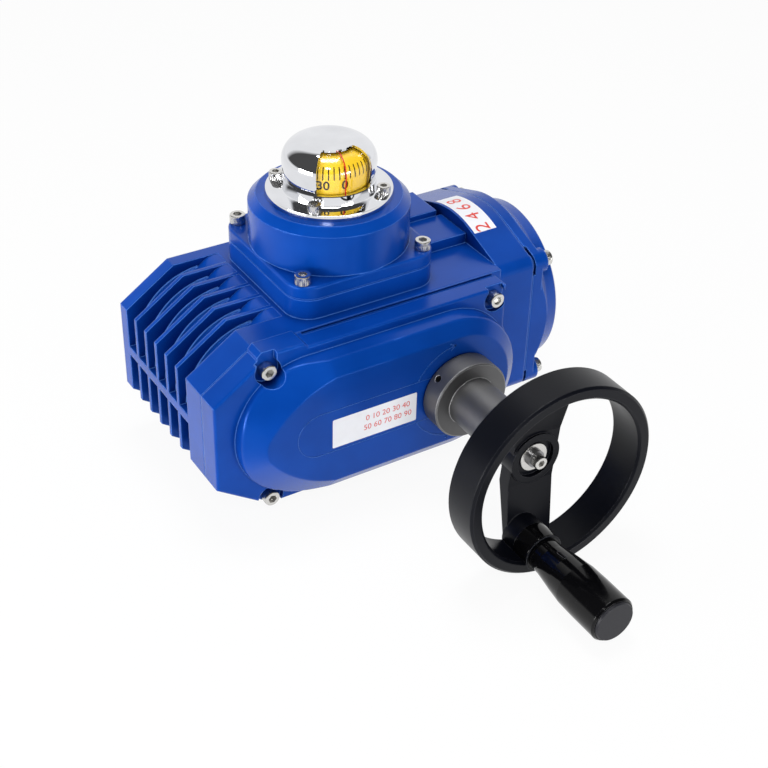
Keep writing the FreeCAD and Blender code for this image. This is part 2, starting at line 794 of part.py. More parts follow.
def star_socket():
    half = socket_square / 2
    square = block((-half, half), (-half, half), (0, spigot_depth + socket_depth))
    turned = square.copy()
    turned.rotate(at(0, 0, 0), UP, 45)
    return join([square, turned])


def output_shaft():
    foot = spigot_depth + free_gap
    plate_top = bearing_plate_top
    body = turned_z([
        (0, foot), (output_r, foot), (output_r, hub_seat_z), (output_neck_r, hub_seat_z),
        (output_neck_r, bearing_plate_z - 4), (output_top_r, bearing_plate_z - 4), (output_top_r, plate_top + 1),
        (spindle_r, plate_top + 1), (spindle_r, spindle_top), (0, spindle_top),
    ])
    return body.cut(star_socket())


def worm_wheel():
    lead_twist = math.degrees(wheel_width * module / (2 * worm_pitch_r) / wheel_pitch_r)
    bore = output_neck_r + fit_gap
    teeth = involute_gear(
        module, wheel_teeth, wheel_width, bore, 20.0, 1.0, tooth_depth, 0.0, 180.0 / wheel_teeth, lead_twist,
    )
    teeth.translate(at(0, 0, axis_z - wheel_width / 2))
    hub = rod_z(0, 0, wheel_hub_r, hub_seat_z, hub_seat_z + wheel_hub_length)
    return join([teeth, hub]).cut(rod_z(0, 0, bore, 0, deck_z))


def worm_thread():
    """One right-hand thread with straight flanks, from its root to its tip."""
    lead = math.pi * module
    slope = math.tan(math.radians(20.0))
    half = lead / 4 - worm_backlash / 2
    root_half = half + (worm_pitch_r - worm_root_r + 0.3) * slope
    tip_half = half - module * slope
    length = 2 * worm_half_length - lead
    path = Part.makeHelix(lead, length, worm_pitch_r)
    inner = worm_root_r - 0.3
    profile = Part.makePolygon([
        at(inner, 0, -root_half), at(worm_tip_r, 0, -tip_half), at(worm_tip_r, 0, tip_half),
        at(inner, 0, root_half), at(inner, 0, -root_half),
    ])
    pipe = Part.Wire(path.Edges).makePipeShell([profile], True, True)
    turns = length / lead
    pipe.translate(at(0, 0, -length / 2))
    start = 360.0 * (turns / 2)
    pipe.rotate(at(0, 0, 0), UP, -start)
    return pipe


def worm_shaft():
    back = worm_back_y - free_gap
    seat = front_seat_y
    drive = plate_y
    body = turned_y([
        (0, back), (worm_journal_r, back), (worm_journal_r, worm_half_length + 4), (worm_root_r, worm_half_length + 4),
        (worm_root_r, -worm_half_length - 4), (worm_front_r, -worm_half_length - 4), (worm_front_r, drive),
        (worm_drive_r, drive), (worm_drive_r, hub_back_y), (worm_end_r, hub_back_y),
        (worm_end_r, hub_seat_y + 0.5), (0, hub_seat_y + 0.5),
    ], worm_x, axis_z)
    thread = worm_thread()
    thread.rotate(at(0, 0, 0), at(1, 0, 0), -90)
    thread.rotate(at(0, 0, 0), at(0, 1, 0), 180)
    thread.translate(at(worm_x, 0, axis_z))
    screw_hole = rod_y(worm_x, axis_z, m5[2] + fit_gap, hub_seat_y - 1, hub_seat_y + wheel_screw_length)
    return body.fuse(thread).cut(screw_hole)


def ring_y(x, z, inner, outer, lo, hi):
    return rod_y(x, z, outer, lo, hi).cut(rod_y(x, z, inner, lo - 1, hi + 1))


def ring_z(inner, outer, lo, hi):
    return rod_z(0, 0, outer, lo, hi).cut(rod_z(0, 0, inner, lo - 1, hi + 1))


def motor_parts():
    middle = (motor_back_y - half_width + shield_thickness) / 2 + 1
    lo, hi = middle - stator_length / 2, middle + stator_length / 2
    case_r = motor_r - fit_gap
    bore = rotor_r + rotor_gap
    export("motor_stator", ring_y(motor_x, axis_z, bore, case_r, lo, hi))
    wound = [
        ring_y(motor_x, axis_z, bore + 1, bore + 1 + winding_wall, hi, hi + winding_length),
        ring_y(motor_x, axis_z, bore + 1, bore + 1 + winding_wall, lo - winding_length, lo),
    ]
    export("motor_windings", *wound)
    shield_y = -half_width + shield_thickness
    shield = ring_y(motor_x, axis_z, motor_bearing_r + fit_gap, case_r, -half_width, shield_y)
    export("motor_end_shield", shield)
    bearing_in = motor_shaft_r + running_gap
    bearing_out = motor_bearing_r - fit_gap
    front = ring_y(motor_x, axis_z, bearing_in, bearing_out, shield_y - motor_bearing_width, shield_y)
    rear = ring_y(motor_x, axis_z, bearing_in, bearing_out, motor_back_y, motor_back_y + motor_bearing_width)
    export("motor_bearings", front, rear)
    export("motor_rotor", ring_y(motor_x, axis_z, motor_shaft_r + fit_gap, rotor_r, lo, hi))


def gear_train():
    motor = (motor_x, axis_z)
    worm = (worm_x, axis_z)
    bore = idler_pin_r + running_gap
    stages = [
        ("motor_shaft", motor, pinion_teeth, 1.0, direction(motor, idler_1), 0, 0),
        ("first_idler", idler_1, gear_teeth, bore, direction(idler_1, motor), 1, 0),
        ("first_idler", idler_1, pinion_teeth, bore, direction(idler_1, idler_2), 0, 1),
        ("second_idler", idler_2, gear_teeth, bore, direction(idler_2, idler_1), 1, 1),
        ("second_idler", idler_2, pinion_teeth, bore, direction(idler_2, worm), 0, 2),
        ("worm_drive_gear", worm, gear_teeth, worm_drive_r + fit_gap, direction(worm, idler_2), 1, 2),
    ]
    pieces = {}
    for name, (x, z), teeth, hole, line, toward, layer in stages:
        near = layers[layer]
        gear = spur(teeth, hole, line, toward, near)
        gear.translate(at(x, 0, z))
        if name in pieces:
            pieces[name].append(ring_y(x, z, hole, idler_pin_r + 2.5, near, near + spur_gap))
        pieces.setdefault(name, []).append(gear)
    shaft_end = motor_back_y + motor_bearing_width - free_gap
    pieces["motor_shaft"].append(rod_y(motor_x, axis_z, motor_shaft_r, layers[0] - spur_width, shaft_end))
    for name, shapes in pieces.items():
        export(name, join(shapes))
    pins = [rod_y(x, z, idler_pin_r, cavity_y + free_gap, -half_width - 0.5) for x, z in (idler_1, idler_2)]
    export("idler_pins", *pins)
    plate = stadium(cavity_x, worm_x, gear_plate_r, plate_y, -half_width)
    cuts = [rod_y(motor_x, axis_z, motor_shaft_r + 4, -far, 0)]
    cuts.append(rod_y(worm_x, axis_z, worm_front_r + 3, -far, 0))
    cuts += [rod_y(x, z, idler_pin_r + fit_gap, -far, 0) for x, z in (idler_1, idler_2)]
    cuts += [rod_y(x, z, m4[2] + free_gap, -far, 0) for x, z in plate_screws]
    export("gear_plate", plate.cut(cuts))
    screw = socket_screw((3.5, 2.2, 2.0, 2.5), 12)
    export("gear_plate_screws", *[placed(screw, at(x, plate_y, z), at(0, -1, 0)) for x, z in plate_screws])


def worm_parts():
    export("worm_shaft", worm_shaft())
    rear = ring_y(
        worm_x, axis_z, worm_journal_r + running_gap, rear_seat_r - fit_gap, worm_back_y - rear_bearing_width, worm_back_y,
    )
    front = ring_y(worm_x, axis_z, worm_front_r + running_gap, front_seat_r - fit_gap, -half_width, front_seat_y)
    export("worm_bearings", rear, front)
    seal = ring_y(
        worm_x, axis_z, worm_drive_r + running_gap, worm_drive_r + seal_wall - fit_gap, plateau_top_y, cavity_y,
    )
    export("worm_shaft_seal", seal)


def output_parts():
    export("output_shaft", output_shaft())
    export("worm_wheel", worm_wheel())
    hub_top = hub_seat_z + wheel_hub_length
    export("wheel_circlip", ring_z(output_neck_r + fit_gap, output_neck_r + 3.5, hub_top, hub_top + 1.5))
    export("lower_bush", ring_z(output_r + running_gap, lower_bush_r - fit_gap, spigot_depth + seal_height, bush_top))
    seal = ring_z(output_r + running_gap, output_r + seal_wall - fit_gap, spigot_depth, spigot_depth + seal_height)
    export("base_seal", seal)
    plate_top = bearing_plate_top
    bush_r = output_top_r + bush_wall
    export("upper_bush", ring_z(output_top_r + running_gap, bush_r - fit_gap, bearing_plate_z, plate_top))
    plate = ring_z(bush_r, bearing_plate_r - fit_gap, bearing_plate_z, plate_top)
    depth, width, height = switch_size
    stand_top = cam_z[0] + (cam_thickness - height) / 2
    stand = block((switch_x + 2, switch_x + depth), (-width / 2, width / 2), (bearing_plate_z + 1, stand_top))
    cuts = [rod_z(x, y, m4[2] + free_gap, 0, far) for x, y in disc_screws]
    cuts += [rod_z(x, y, switch_screw_r + fit_gap, plate_top, far) for x, y in switch_screw_spots]
    export("bearing_plate", join([plate, stand]).cut(cuts))
    screw = socket_screw(m4, bearing_plate_thickness + 8)
    export("bearing_plate_screws", *[placed(screw, at(x, y, plate_top), UP) for x, y in disc_screws])
    export("indicator_drum", drum())


def cam(hub_z, z, lobe_from, lobe_to):
    """Cam disc with its lobe, on a hub that reaches down to hub_z."""
    hub = rod_z(0, 0, spindle_r + 3, hub_z, z + 1)
    disc = rod_z(0, 0, cam_r, z, z + cam_thickness)
    lobe = rod_z(0, 0, cam_r + cam_lobe, z, z + cam_thickness)
    a, b = math.radians(lobe_from), math.radians(lobe_to)
    reach = cam_r * 2
    sector = outline([
        at(0, 0, z), at(reach * math.cos(a), reach * math.sin(a), z), at(reach * math.cos(b), reach * math.sin(b), z),
    ]).extrude(at(0, 0, cam_thickness))
    return join([disc, hub, lobe.common(sector)]).cut(rod_z(0, 0, spindle_r + fit_gap, hub_z - 1, z + cam_thickness + 1))


def switch_parts():
    export("close_cam", cam(bearing_plate_top + 1, cam_z[0], -12, 25))
    export("open_cam", cam(cam_z[0] + cam_thickness, cam_z[1], -115, -78))
    depth, width, height = switch_size
    tip = cam_r + cam_lobe + free_gap
    bodies = []
    for name, z in zip(("close_switch_plunger", "open_switch_plunger"), cam_z):
        middle = z + cam_thickness / 2
        box = block((switch_x, switch_x + depth), (-width / 2, width / 2), (middle - height / 2, middle + height / 2))
        hole_end = switch_x + 5 + plunger_travel + free_gap
        box = box.cut(rod_x(0, middle, plunger_r + running_gap, switch_x - 1, hole_end))
        box = box.cut([rod_z(x, y, switch_screw_r + free_gap, 0, far) for x, y in switch_screw_spots])
        bodies.append(box)
        export(name, rod_x(0, middle, plunger_r, tip, switch_x + 5))
    export("limit_switches", *bodies)
    top = cam_z[1] + cam_thickness / 2 + height / 2
    screw = socket_screw((3.0, 2.5, switch_screw_r, 2.5), top - bearing_plate_top)
    export("switch_screws", *[placed(screw, at(x, y, top), UP) for x, y in switch_screw_spots])


def terminal_parts():
    board = rod_x(0, terminal_z, board_r, board_x, board_x + board_thickness)
    angles = [math.radians(a) for a in (90, 210, 330)]
    posts = [(board_post_at * math.cos(a), terminal_z + board_post_at * math.sin(a)) for a in angles]
    export("terminal_board", board.cut([rod_x(y, z, 1.6 + fit_gap, 0, far) for y, z in posts]))
    floor = terminal_x + 2
    standoffs = []
    for y, z in posts:
        full = rod_x(y, z, 3.0, floor, board_x)
        standoffs.append(join([full, rod_x(y, z, 1.6, floor, board_x + board_thickness + 1.5)]))
    export("board_standoffs", *standoffs)
    face = board_x + board_thickness
    poles = 8
    pitch = 8.0
    length = poles * pitch
    base = block((face, face + 9), (-length / 2, length / 2), (terminal_z - 12, terminal_z + 12))
    top = block((face, face + 14), (-length / 2, length / 2), (terminal_z - 6, terminal_z + 6))
    body = join([base, top])
    places = [(-length / 2 + pitch * (i + 0.5), terminal_z + side * 9) for i in range(poles) for side in (-1, 1)]
    body = body.cut([block((face + 4, face + 10), (y - 2.8, y + 2.8), (z - 2.8, z + 2.8)) for y, z in places])
    export("terminal_block", body)
    export("terminal_screws", *[rod_x(y, z, 2.0, face + 4, face + 7.5) for y, z in places[::2] + places[1::2]])
    x = inner_bore_x + capacitor_r + 6
    z = terminal_z - capacitor_drop
    export("capacitor", rod_y(x, z, capacitor_r, -capacitor_length / 2, capacitor_length / 2))
    clip = ring_y(x, z, capacitor_r + fit_gap, capacitor_r + 2, -8, 8)
    tab = block((inner_bore_x, x - capacitor_r), (-8, 8), (z - 6, z + 6)).cut(rod_y(x, z, capacitor_r + 1, -9, 9))
    export("capacitor_clip", join([clip, tab]))


def gland_parts():
    bodies, nuts, seals = [], [], []
    face = half_width
    neck_r = gland_thread_r - 1.5
    neck_end = face + gland_flange + 8
    for z in gland_z:
        hexed = hexagon(gland_flange_r * math.sqrt(3), 0, gland_flange)
        hexed = placed(hexed, at(gland_x, face, z), at(0, 1, 0))
        body = join([
            hexed, rod_y(gland_x, z, gland_thread_r - fit_gap, face - 8, face + 0.1),
            rod_y(gland_x, z, neck_r, face, neck_end),
        ])
        bodies.append(body.cut(rod_y(gland_x, z, gland_bore_r, face - 20, neck_end + 1)))
        start = face + gland_flange + free_gap
        end = start + gland_nut_length
        nut = turned_y([
            (neck_r + fit_gap, start), (gland_flange_r - 1, start), (gland_flange_r - 1, end - 4),
            (gland_bore_r + 2, end), (gland_bore_r, end), (gland_bore_r, end - 1.5), (neck_r + fit_gap, end - 1.5),
        ], gland_x, z)
        nuts.append(nut)
        seals.append(ring_y(gland_x, z, gland_bore_r, neck_r, neck_end + fit_gap, end - 1.5))
    export("gland_bodies", *bodies)
    export("gland_nuts", *nuts)
    export("gland_seals", *seals)


def wheel_web():
    """Dished bar across the rim, thick at the hub and thin where it runs into the rim."""
    reach = rim_r - rim_wall / 2
    edge = rim_r - rim_wall
    half = [
        (hub_r, hub_back_y), (edge, rim_back_y), (reach, rim_back_y), (reach, rim_back_y - web_thin),
        (edge, rim_back_y - web_thin), (hub_r, hub_front_y + 1.5),
    ]
    side = half + [(-h, y) for h, y in reversed(half)]
    x = worm_x - web_half_width
    bar = outline([at(x, y, axis_z + h) for h, y in side]).extrude(at(2 * web_half_width, 0, 0))
    bar.rotate(at(worm_x, 0, axis_z), at(0, 1, 0), web_lean)
    return bar.common(rod_y(worm_x, axis_z, reach, rim_back_y - rim_width, hub_back_y))


def handwheel():
    front = rim_back_y - rim_width
    e = rim_edge
    inner = rim_r - rim_wall
    rim = turned_y([
        (inner, rim_back_y), (rim_r - e, rim_back_y), (rim_r, rim_back_y - e), (rim_r, front + e),
        (rim_r - e, front), (inner + e, front), (inner, front + e),
    ], worm_x, axis_z)
    hub = rod_y(worm_x, axis_z, hub_r, hub_front_y, hub_back_y)
    boss = rod_y(handle_x, handle_z, handle_boss_r, handle_boss_end, rim_back_y)
    boss = boss.common(rod_y(worm_x, axis_z, rim_r - e, -far, 0))
    cuts = [rod_y(worm_x, axis_z, hub_recess_r, hub_front_y - 1, hub_seat_y)]
    cuts.append(rod_y(worm_x, axis_z, worm_end_r + fit_gap, -far, 0))
    cuts.append(rod_y(handle_x, handle_z, handle_spindle_r + fit_gap, -far, 0))
    cuts.append(rod_y(handle_x, handle_z, handle_head[0] + free_gap, rim_back_y, 0))
    return join([rim, wheel_web(), hub, boss]).cut(cuts)


def wheel_parts():
    export("handwheel", handwheel())
    back = plateau_top_y - free_gap
    neck = back - collar_length
    collar = turned_y([
        (worm_drive_r + fit_gap, back), (collar_r - 0.8, back), (collar_r, back - 0.8), (collar_r, neck + 0.8),
        (collar_r - 0.8, neck), (neck_r, neck), (neck_r, hub_back_y), (worm_drive_r + fit_gap, hub_back_y),
    ], worm_x, axis_z)
    lean = at(-1, 0, 0.9).normalize()
    start = at(worm_x, back - 5.5, axis_z)
    collar = collar.cut(Part.makeCylinder(grub_r, collar_r + 5, start, lean))
    export("handwheel_collar", collar)
    export("collar_grub_screw", Part.makeCylinder(grub_r - fit_gap, grub_length, start + lean * (worm_drive_r + 0.3), lean))
    flat = hub_seat_y - wheel_washer[1]
    top = flat - wheel_lock_washer[1]
    washer = ring_y(worm_x, axis_z, m5[2] + free_gap, wheel_washer[0], flat, hub_seat_y)
    lock = ring_y(worm_x, axis_z, m5[2] + free_gap, wheel_lock_washer[0], top, flat)
    export("wheel_washers", washer, lock)
    screw = socket_screw(m5, wheel_screw_length)
    export("wheel_screw", placed(screw, at(worm_x, top, axis_z), at(0, -1, 0)))


def handle_parts():
    start = handle_boss_end - free_gap
    bore = handle_spindle_r + running_gap
    head_r, head = handle_head
    deep = grip_end + 3.2 * head
    long = start - grip_end
    stations = [
        (bore, start), (grip_neck_r, start), (grip_neck_r + 0.5, start - 0.12 * long),
        (grip_r - 1.6, start - 0.32 * long), (grip_r - 0.3, start - 0.48 * long), (grip_r, start - 0.66 * long),
        (grip_r, grip_end + 1.5), (grip_r - 1.0, grip_end), (grip_cap_r, grip_end), (grip_cap_r, deep), (bore, deep),
    ]
    export("handle_grip", turned_y(stations, handle_x, handle_z))
    cap = turned_y([
        (0, deep - head - 1), (grip_cap_r - fit_gap, deep - head - 1), (grip_cap_r - fit_gap, grip_end), (grip_r - 1.6, grip_end),
        (grip_r - 2.2, grip_end - grip_cap), (0, grip_end - grip_cap),
    ], handle_x, handle_z)
    export("handle_end_cap", cap)
    spindle = turned_y([
        (0, rim_back_y + head), (head_r, rim_back_y + head), (head_r, rim_back_y), (handle_spindle_r, rim_back_y),
        (handle_spindle_r, deep - free_gap), (head_r, deep - free_gap), (head_r, deep - free_gap - head),
        (0, deep - free_gap - head),
    ], handle_x, handle_z)
    export("handle_spindle", spindle)


def cover_fasteners():
    grip = screw_hold - 1
    length = abs(head_seat_y + half_width) + grip
    screw = socket_screw(m6, length)
    export("gear_cover_screws", *[placed(screw, at(x, head_seat_y, z), at(0, -1, 0)) for x, z in cover_screws])
    screw = socket_screw(m6, lug_height + grip)
    export("end_cover_screws", *[placed(screw, at(joint_x + lug_height, y, z), at(1, 0, 0)) for y, z in end_screws])
    screw = socket_screw(m6, turret_seat - pad_top + grip)
    export("turret_screws", *[placed(screw, at(x, y, turret_seat), UP) for x, y in turret_screws])
    screw = socket_screw(m5, bezel_thickness + turret_wall)
    spots = [(sx * bezel_screw_at, sy * bezel_screw_at) for sx, sy in corners]
    export("bezel_screws", *[placed(screw, at(x, y, bezel_z + bezel_thickness), UP) for x, y in spots])


export("housing", housing())
export("gear_cover", gear_cover())
export("gear_cover_gasket", gear_gasket())
export("end_cover", end_cover())
export("end_cover_gasket", end_gasket())
export("turret_cover", turret_cover())
export("turret_gasket", turret_gasket())
export("indicator_bezel", bezel())
export("indicator_lens", lens())
cover_fasteners()
motor_parts()
gear_train()
worm_parts()
output_parts()
switch_parts()
terminal_parts()
gland_parts()
wheel_parts()
handle_parts()
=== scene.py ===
import json
import math

import bmesh
import bpy
from mathutils import Matrix, Vector


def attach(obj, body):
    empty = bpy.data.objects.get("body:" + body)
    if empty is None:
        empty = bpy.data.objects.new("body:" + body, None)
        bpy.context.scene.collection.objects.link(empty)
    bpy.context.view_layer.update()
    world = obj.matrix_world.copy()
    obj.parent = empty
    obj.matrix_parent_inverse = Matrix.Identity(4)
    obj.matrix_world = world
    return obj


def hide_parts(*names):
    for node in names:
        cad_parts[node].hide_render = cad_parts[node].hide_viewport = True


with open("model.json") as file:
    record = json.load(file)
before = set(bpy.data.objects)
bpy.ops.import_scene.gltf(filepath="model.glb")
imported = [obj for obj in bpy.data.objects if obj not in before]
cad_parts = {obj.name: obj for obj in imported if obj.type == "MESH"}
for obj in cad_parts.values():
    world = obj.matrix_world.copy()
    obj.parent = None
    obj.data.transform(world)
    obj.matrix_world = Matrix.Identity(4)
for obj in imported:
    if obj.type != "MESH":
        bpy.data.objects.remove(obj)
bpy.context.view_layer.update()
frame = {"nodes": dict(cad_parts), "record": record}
nodes = frame["nodes"]
scene = bpy.context.scene
print("frame loaded:", len(nodes), "nodes")

mm = 0.001

# where things are, in millimetres, as in the construction source
wormX, axisZ = 40.0, 66.0
handleX, handleZ = 30.83, 17.46
terminalZ = 69.5
coverFaceY = -91.0


# Finishes

class Num:
    # a value that changes over the surface, with ordinary arithmetic
    def __init__(self, tree, socket):
        self.tree = tree
        self.socket = socket

    def math(self, operation, first, second):
        node = self.tree.add("ShaderNodeMath", {"operation": operation}, {0: first, 1: second})
        return Num(self.tree, node.outputs[0])

    def __add__(self, other):
        return self.math("ADD", self, other)

    def __rsub__(self, other):
        return self.math("SUBTRACT", other, self)

    def __mul__(self, other):
        return self.math("MULTIPLY", self, other)


class Tree:
    # a node tree, filled one node at a time
    def __init__(self, tree):
        self.tree = tree

    def add(self, kind, settings=None, sockets=None):
        node = self.tree.nodes.new(kind)
        for key, value in (settings or {}).items():
            if key == "stops":
                self.setStops(node, value)
            else:
                setattr(node, key, value)
        for key, value in (sockets or {}).items():
            self.feed(node.inputs[key], value)
        return node

    def setStops(self, node, stops):
        ramp = node.color_ramp.elements
        while len(ramp) < len(stops):
            ramp.new(0.5)
        for element, (place, shade) in zip(ramp, stops):
            element.position = place
            element.color = (shade, shade, shade, 1.0)

    def feed(self, socket, value):
        if isinstance(value, Num):
            self.tree.links.new(value.socket, socket)
        elif isinstance(value, bpy.types.NodeSocket):
            self.tree.links.new(value, socket)
        else:
            socket.default_value = value

    def num(self, kind, settings=None, sockets=None, output=0):
        return Num(self, self.add(kind, settings, sockets).outputs[output])


class Finish(Tree):
    # a material on one Principled shader, with patterns on the object's own coordinates
    def __init__(self, name):
        self.material = bpy.data.materials.new(name)
        self.material.use_nodes = True
        super().__init__(self.material.node_tree)
        self.shader = self.tree.nodes["Principled BSDF"]
        self.place = self.add("ShaderNodeTexCoord").outputs["Object"]

    def grain(self, size, detail=2.0, roughness=0.5, stretch=None):
        where = self.place
        if stretch:
            where = self.add("ShaderNodeMapping", None, {"Vector": self.place, "Scale": stretch}).outputs[0]
        sockets = {"Vector": where, "Scale": 1.0 / (size * mm), "Detail": detail, "Roughness": roughness}
        return self.num("ShaderNodeTexNoise", None, sockets)

    def mixed(self, amount, first, second):
        ends = [(*end, 1.0) if isinstance(end, tuple) else end for end in (first, second)]
        sockets = {0: amount, 6: ends[0], 7: ends[1]}
        return self.add("ShaderNodeMix", {"data_type": "RGBA"}, sockets).outputs[2]

    def rounded(self, radius, samples=6):
        return self.add("ShaderNodeBevel", {"samples": samples}, {"Radius": radius * mm}).outputs[0]

    def edges(self, radius, low=0.03, high=0.20):
        # 1 along edges and corners within the radius, 0 on plain faces
        face = self.add("ShaderNodeNewGeometry").outputs["Normal"]
        sockets = {0: face, 1: self.rounded(radius)}
        facing = self.num("ShaderNodeVectorMath", {"operation": "DOT_PRODUCT"}, sockets, "Value")
        return self.num("ShaderNodeMapRange", None, {0: 1.0 - facing, 1: low, 2: high})

    def occlusionShade(self, reach, low, high):
        # mask for painted shade: 0 deep in gaps narrower than the reach, 1 in the open
        seen = self.num("ShaderNodeAmbientOcclusion", {"samples": 6}, {"Distance": reach * mm}, "AO")
        return self.num("ShaderNodeMapRange", None, {0: seen, 1: low, 2: high})

    def bump(self, height, depth, edge=0.0, strength=1.0):
        sockets = {"Height": height, "Distance": depth * mm, "Strength": strength}
        if edge:
            sockets["Normal"] = self.rounded(edge)
        return self.add("ShaderNodeBump", None, sockets).outputs[0]

    def set(self, sockets):
        for key, value in sockets.items():
            self.feed(self.shader.inputs[key], value)
        return self.material


enamelLook = {
    "dark": (0.0010, 0.040, 0.270),
    "light": (0.0020, 0.052, 0.335),
    "paintedEdgeLight": (0.120, 0.320, 0.960),        # painted highlight: lighter blue along the edges, where the light catches them
    "paintedEdgeLightShare": 0.75,
    "deep": (0.0003, 0.008, 0.090),       # painted shade: dark navy deep in narrow gaps
    "gap": (22.0, 0.26, 0.60),            # a gap's width, and the openness where the painted shade is full and gone
    "shine": (0.080, 0.30, 1.0, 1.0),     # the paint's gloss keeps the paint's colour
    "roughness": 0.24,
    "edge": 1.5,                          # millimetres of rounding that the light sees on cast edges
}
seamLook = {
    **enamelLook,
    "dark": (0.0009, 0.034, 0.230), "light": (0.0016, 0.044, 0.285), "roughness": 0.30, "edge": 0.3,
}
# painted highlight along edges: how much of it, and its tone on metal and on plastic
edgeHighlightTones = {"share": 0.8, "metal": (0.75, 0.75, 0.76), "plastic": (0.090, 0.092, 0.105)}


def enamel(name, look):
    # stoved enamel on a casting: cloudy tone, faint orange peel, rounded edges, painted shade in narrow gaps and
    # a painted highlight along the edges
    f = Finish(name)
    cloud = f.grain(38.0, 3.0)
    peel = f.grain(1.6, 2.0, 0.45)
    speck = f.grain(0.4, 1.0)
    blotch = f.num("ShaderNodeValToRGB", {"stops": ((0.35, 0.0), (0.65, 1.0))}, {0: cloud})
    # painted shade: the tone darkens toward the deep colour in narrow gaps, by ambient occlusion
    outside = f.occlusionShade(*look["gap"])
    # mask of the painted highlight along edges
    edgeLightMask = f.edges(look["edge"] * 0.7) * look["paintedEdgeLightShare"]
    gapShadedTone = f.mixed(outside, look["deep"], f.mixed(blotch, look["dark"], look["light"]))
    return f.set({
        "Base Color": f.mixed(edgeLightMask, gapShadedTone, look["paintedEdgeLight"]),
        "Roughness": cloud * 0.08 + speck * 0.04 + (look["roughness"] - 0.06),
        "IOR": 1.55,
        "Specular Tint": look["shine"],
        "Coat Weight": 0.02,
        "Coat Roughness": 0.12,
        "Normal": f.bump(peel + speck * 0.15, 0.05, look["edge"], 0.35),
    })


def metal(name, colour, roughness, size=0.6, stretch=None, depth=0.01, spread=0.12, edge=0.0):
    # fine grain of a size and depth in millimetres, and a cloudy tone
    f = Finish(name)
    grain = f.grain(size, 3.0, 0.6, stretch)
    cloud = f.grain(14.0, 2.0)
    darker = tuple(c * 0.84 for c in colour)
    tone = f.mixed(cloud, colour, darker)
    # with an edge: painted highlight, the edges lighten toward a pale metal tone
    if edge:
        tone = f.mixed(f.edges(edge) * edgeHighlightTones["share"], tone, edgeHighlightTones["metal"])
    return f.set({
        "Base Color": tone,
        "Metallic": 1.0,
        "Roughness": grain * spread + (roughness - spread / 2),
        "Normal": f.bump(grain, depth, edge),
    })


def plastic(name, colour, roughness, size=0.5, depth=0.02, coat=0.0, edge=0.0, shine=0.5):
    # moulded or painted: satin grain, and a tone that lightens in clouds
    f = Finish(name)
    grain = f.grain(size, 2.0)
    cloud = f.grain(25.0, 2.0)
    lighter = tuple(min(1.0, c * 1.18 + 0.001) for c in colour)
    tone = f.mixed(cloud, colour, lighter)
    # with an edge: painted highlight, the edges lighten toward a grey tone
    if edge:
        tone = f.mixed(f.edges(edge * 0.5) * edgeHighlightTones["share"], tone, edgeHighlightTones["plastic"])
    return f.set({
        "Base Color": tone,
        "Roughness": grain * 0.1 + (roughness - 0.05),
        "Specular IOR Level": shine,
        "Coat Weight": coat,
        "Coat Roughness": 0.05,
        "Normal": f.bump(grain, depth, edge),
    })


def sticker(name):
    # white vinyl with a slightly soiled, uneven sheen
    f = Finish(name)
    soil = f.grain(9.0, 4.0, 0.6)
    grain = f.grain(0.3, 1.0)
    return f.set({
        "Base Color": f.mixed(soil, (0.88, 0.89, 0.93), (0.79, 0.79, 0.82)),
        "Roughness": soil * 0.15 + 0.30,
        "Normal": f.bump(grain, 0.01),
    })


def clearPlastic(name):
    # a thin clear wall: almost nothing of its own, and a mirror's share of the room
    f = Finish(name)
    haze = f.grain(6.0, 2.0)
    return f.set({
        "Base Color": (0.95, 0.96, 1.0, 1.0),
        "Metallic": 1.0,
        "Roughness": haze * 0.04 + 0.02,
        "Alpha": haze * 0.02 + 0.03,
    })


finishes = {
    "blue_casting": enamel("blueEnamel", enamelLook),
    "stainless": metal("stainlessSteel", (0.70, 0.69, 0.67), 0.22, size=0.35, depth=0.008, spread=0.14),
    "chromed": metal("chromePlate", (0.80, 0.81, 0.84), 0.045, size=2.0, depth=0.001, spread=0.02),
    "clear_window": clearPlastic("clearWindow"),
    "yellow_plastic": plastic("yellowDial", (0.90, 0.56, 0.012), 0.35),
    "dark_collar": metal(
        "collarGrey", (0.165, 0.165, 0.168), 0.50,
        size=0.5, stretch=(1.0, 0.25, 1.0), depth=0.02, spread=0.14, edge=0.9,
    ),
    "black_plastic": plastic(
        "wheelBlack", (0.0020, 0.0025, 0.0050), 0.33, size=0.7, depth=0.03, edge=0.9, shine=0.15,
    ),
    "gloss_black": plastic(
        "gripBlack", (0.0012, 0.0012, 0.0016), 0.11, size=3.0, depth=0.006, coat=0.05, edge=0.5, shine=0.24,
    ),
    "grey_plastic": plastic("capGrey", (0.010, 0.010, 0.014), 0.42, depth=0.03, edge=0.6, shine=0.3),
    "gear_steel": metal("groundSteel", (0.50, 0.50, 0.52), 0.30),
    "bronze": metal("turnedBronze", (0.62, 0.42, 0.16), 0.35),
    "seal_rubber": plastic("sealRubber", (0.02, 0.02, 0.02), 0.75),
    "motor_iron": metal("coreIron", (0.20, 0.20, 0.21), 0.55),
    "winding_copper": metal("enamelledCopper", (0.55, 0.20, 0.07), 0.38),
    "plate_aluminium": metal("plateAluminium", (0.70, 0.70, 0.71), 0.40),
    "switch_black": plastic("switchBlack", (0.03, 0.03, 0.032), 0.5),
    "switch_red": plastic("switchRed", (0.50, 0.03, 0.02), 0.4),
    "board_green": plastic("boardGreen", (0.01, 0.13, 0.05), 0.4),
    "capacitor_can": plastic("capacitorWhite", (0.72, 0.72, 0.69), 0.35),
    "gland_black": plastic("glandBlack", (0.020, 0.020, 0.021), 0.5, depth=0.03, edge=0.5),
}
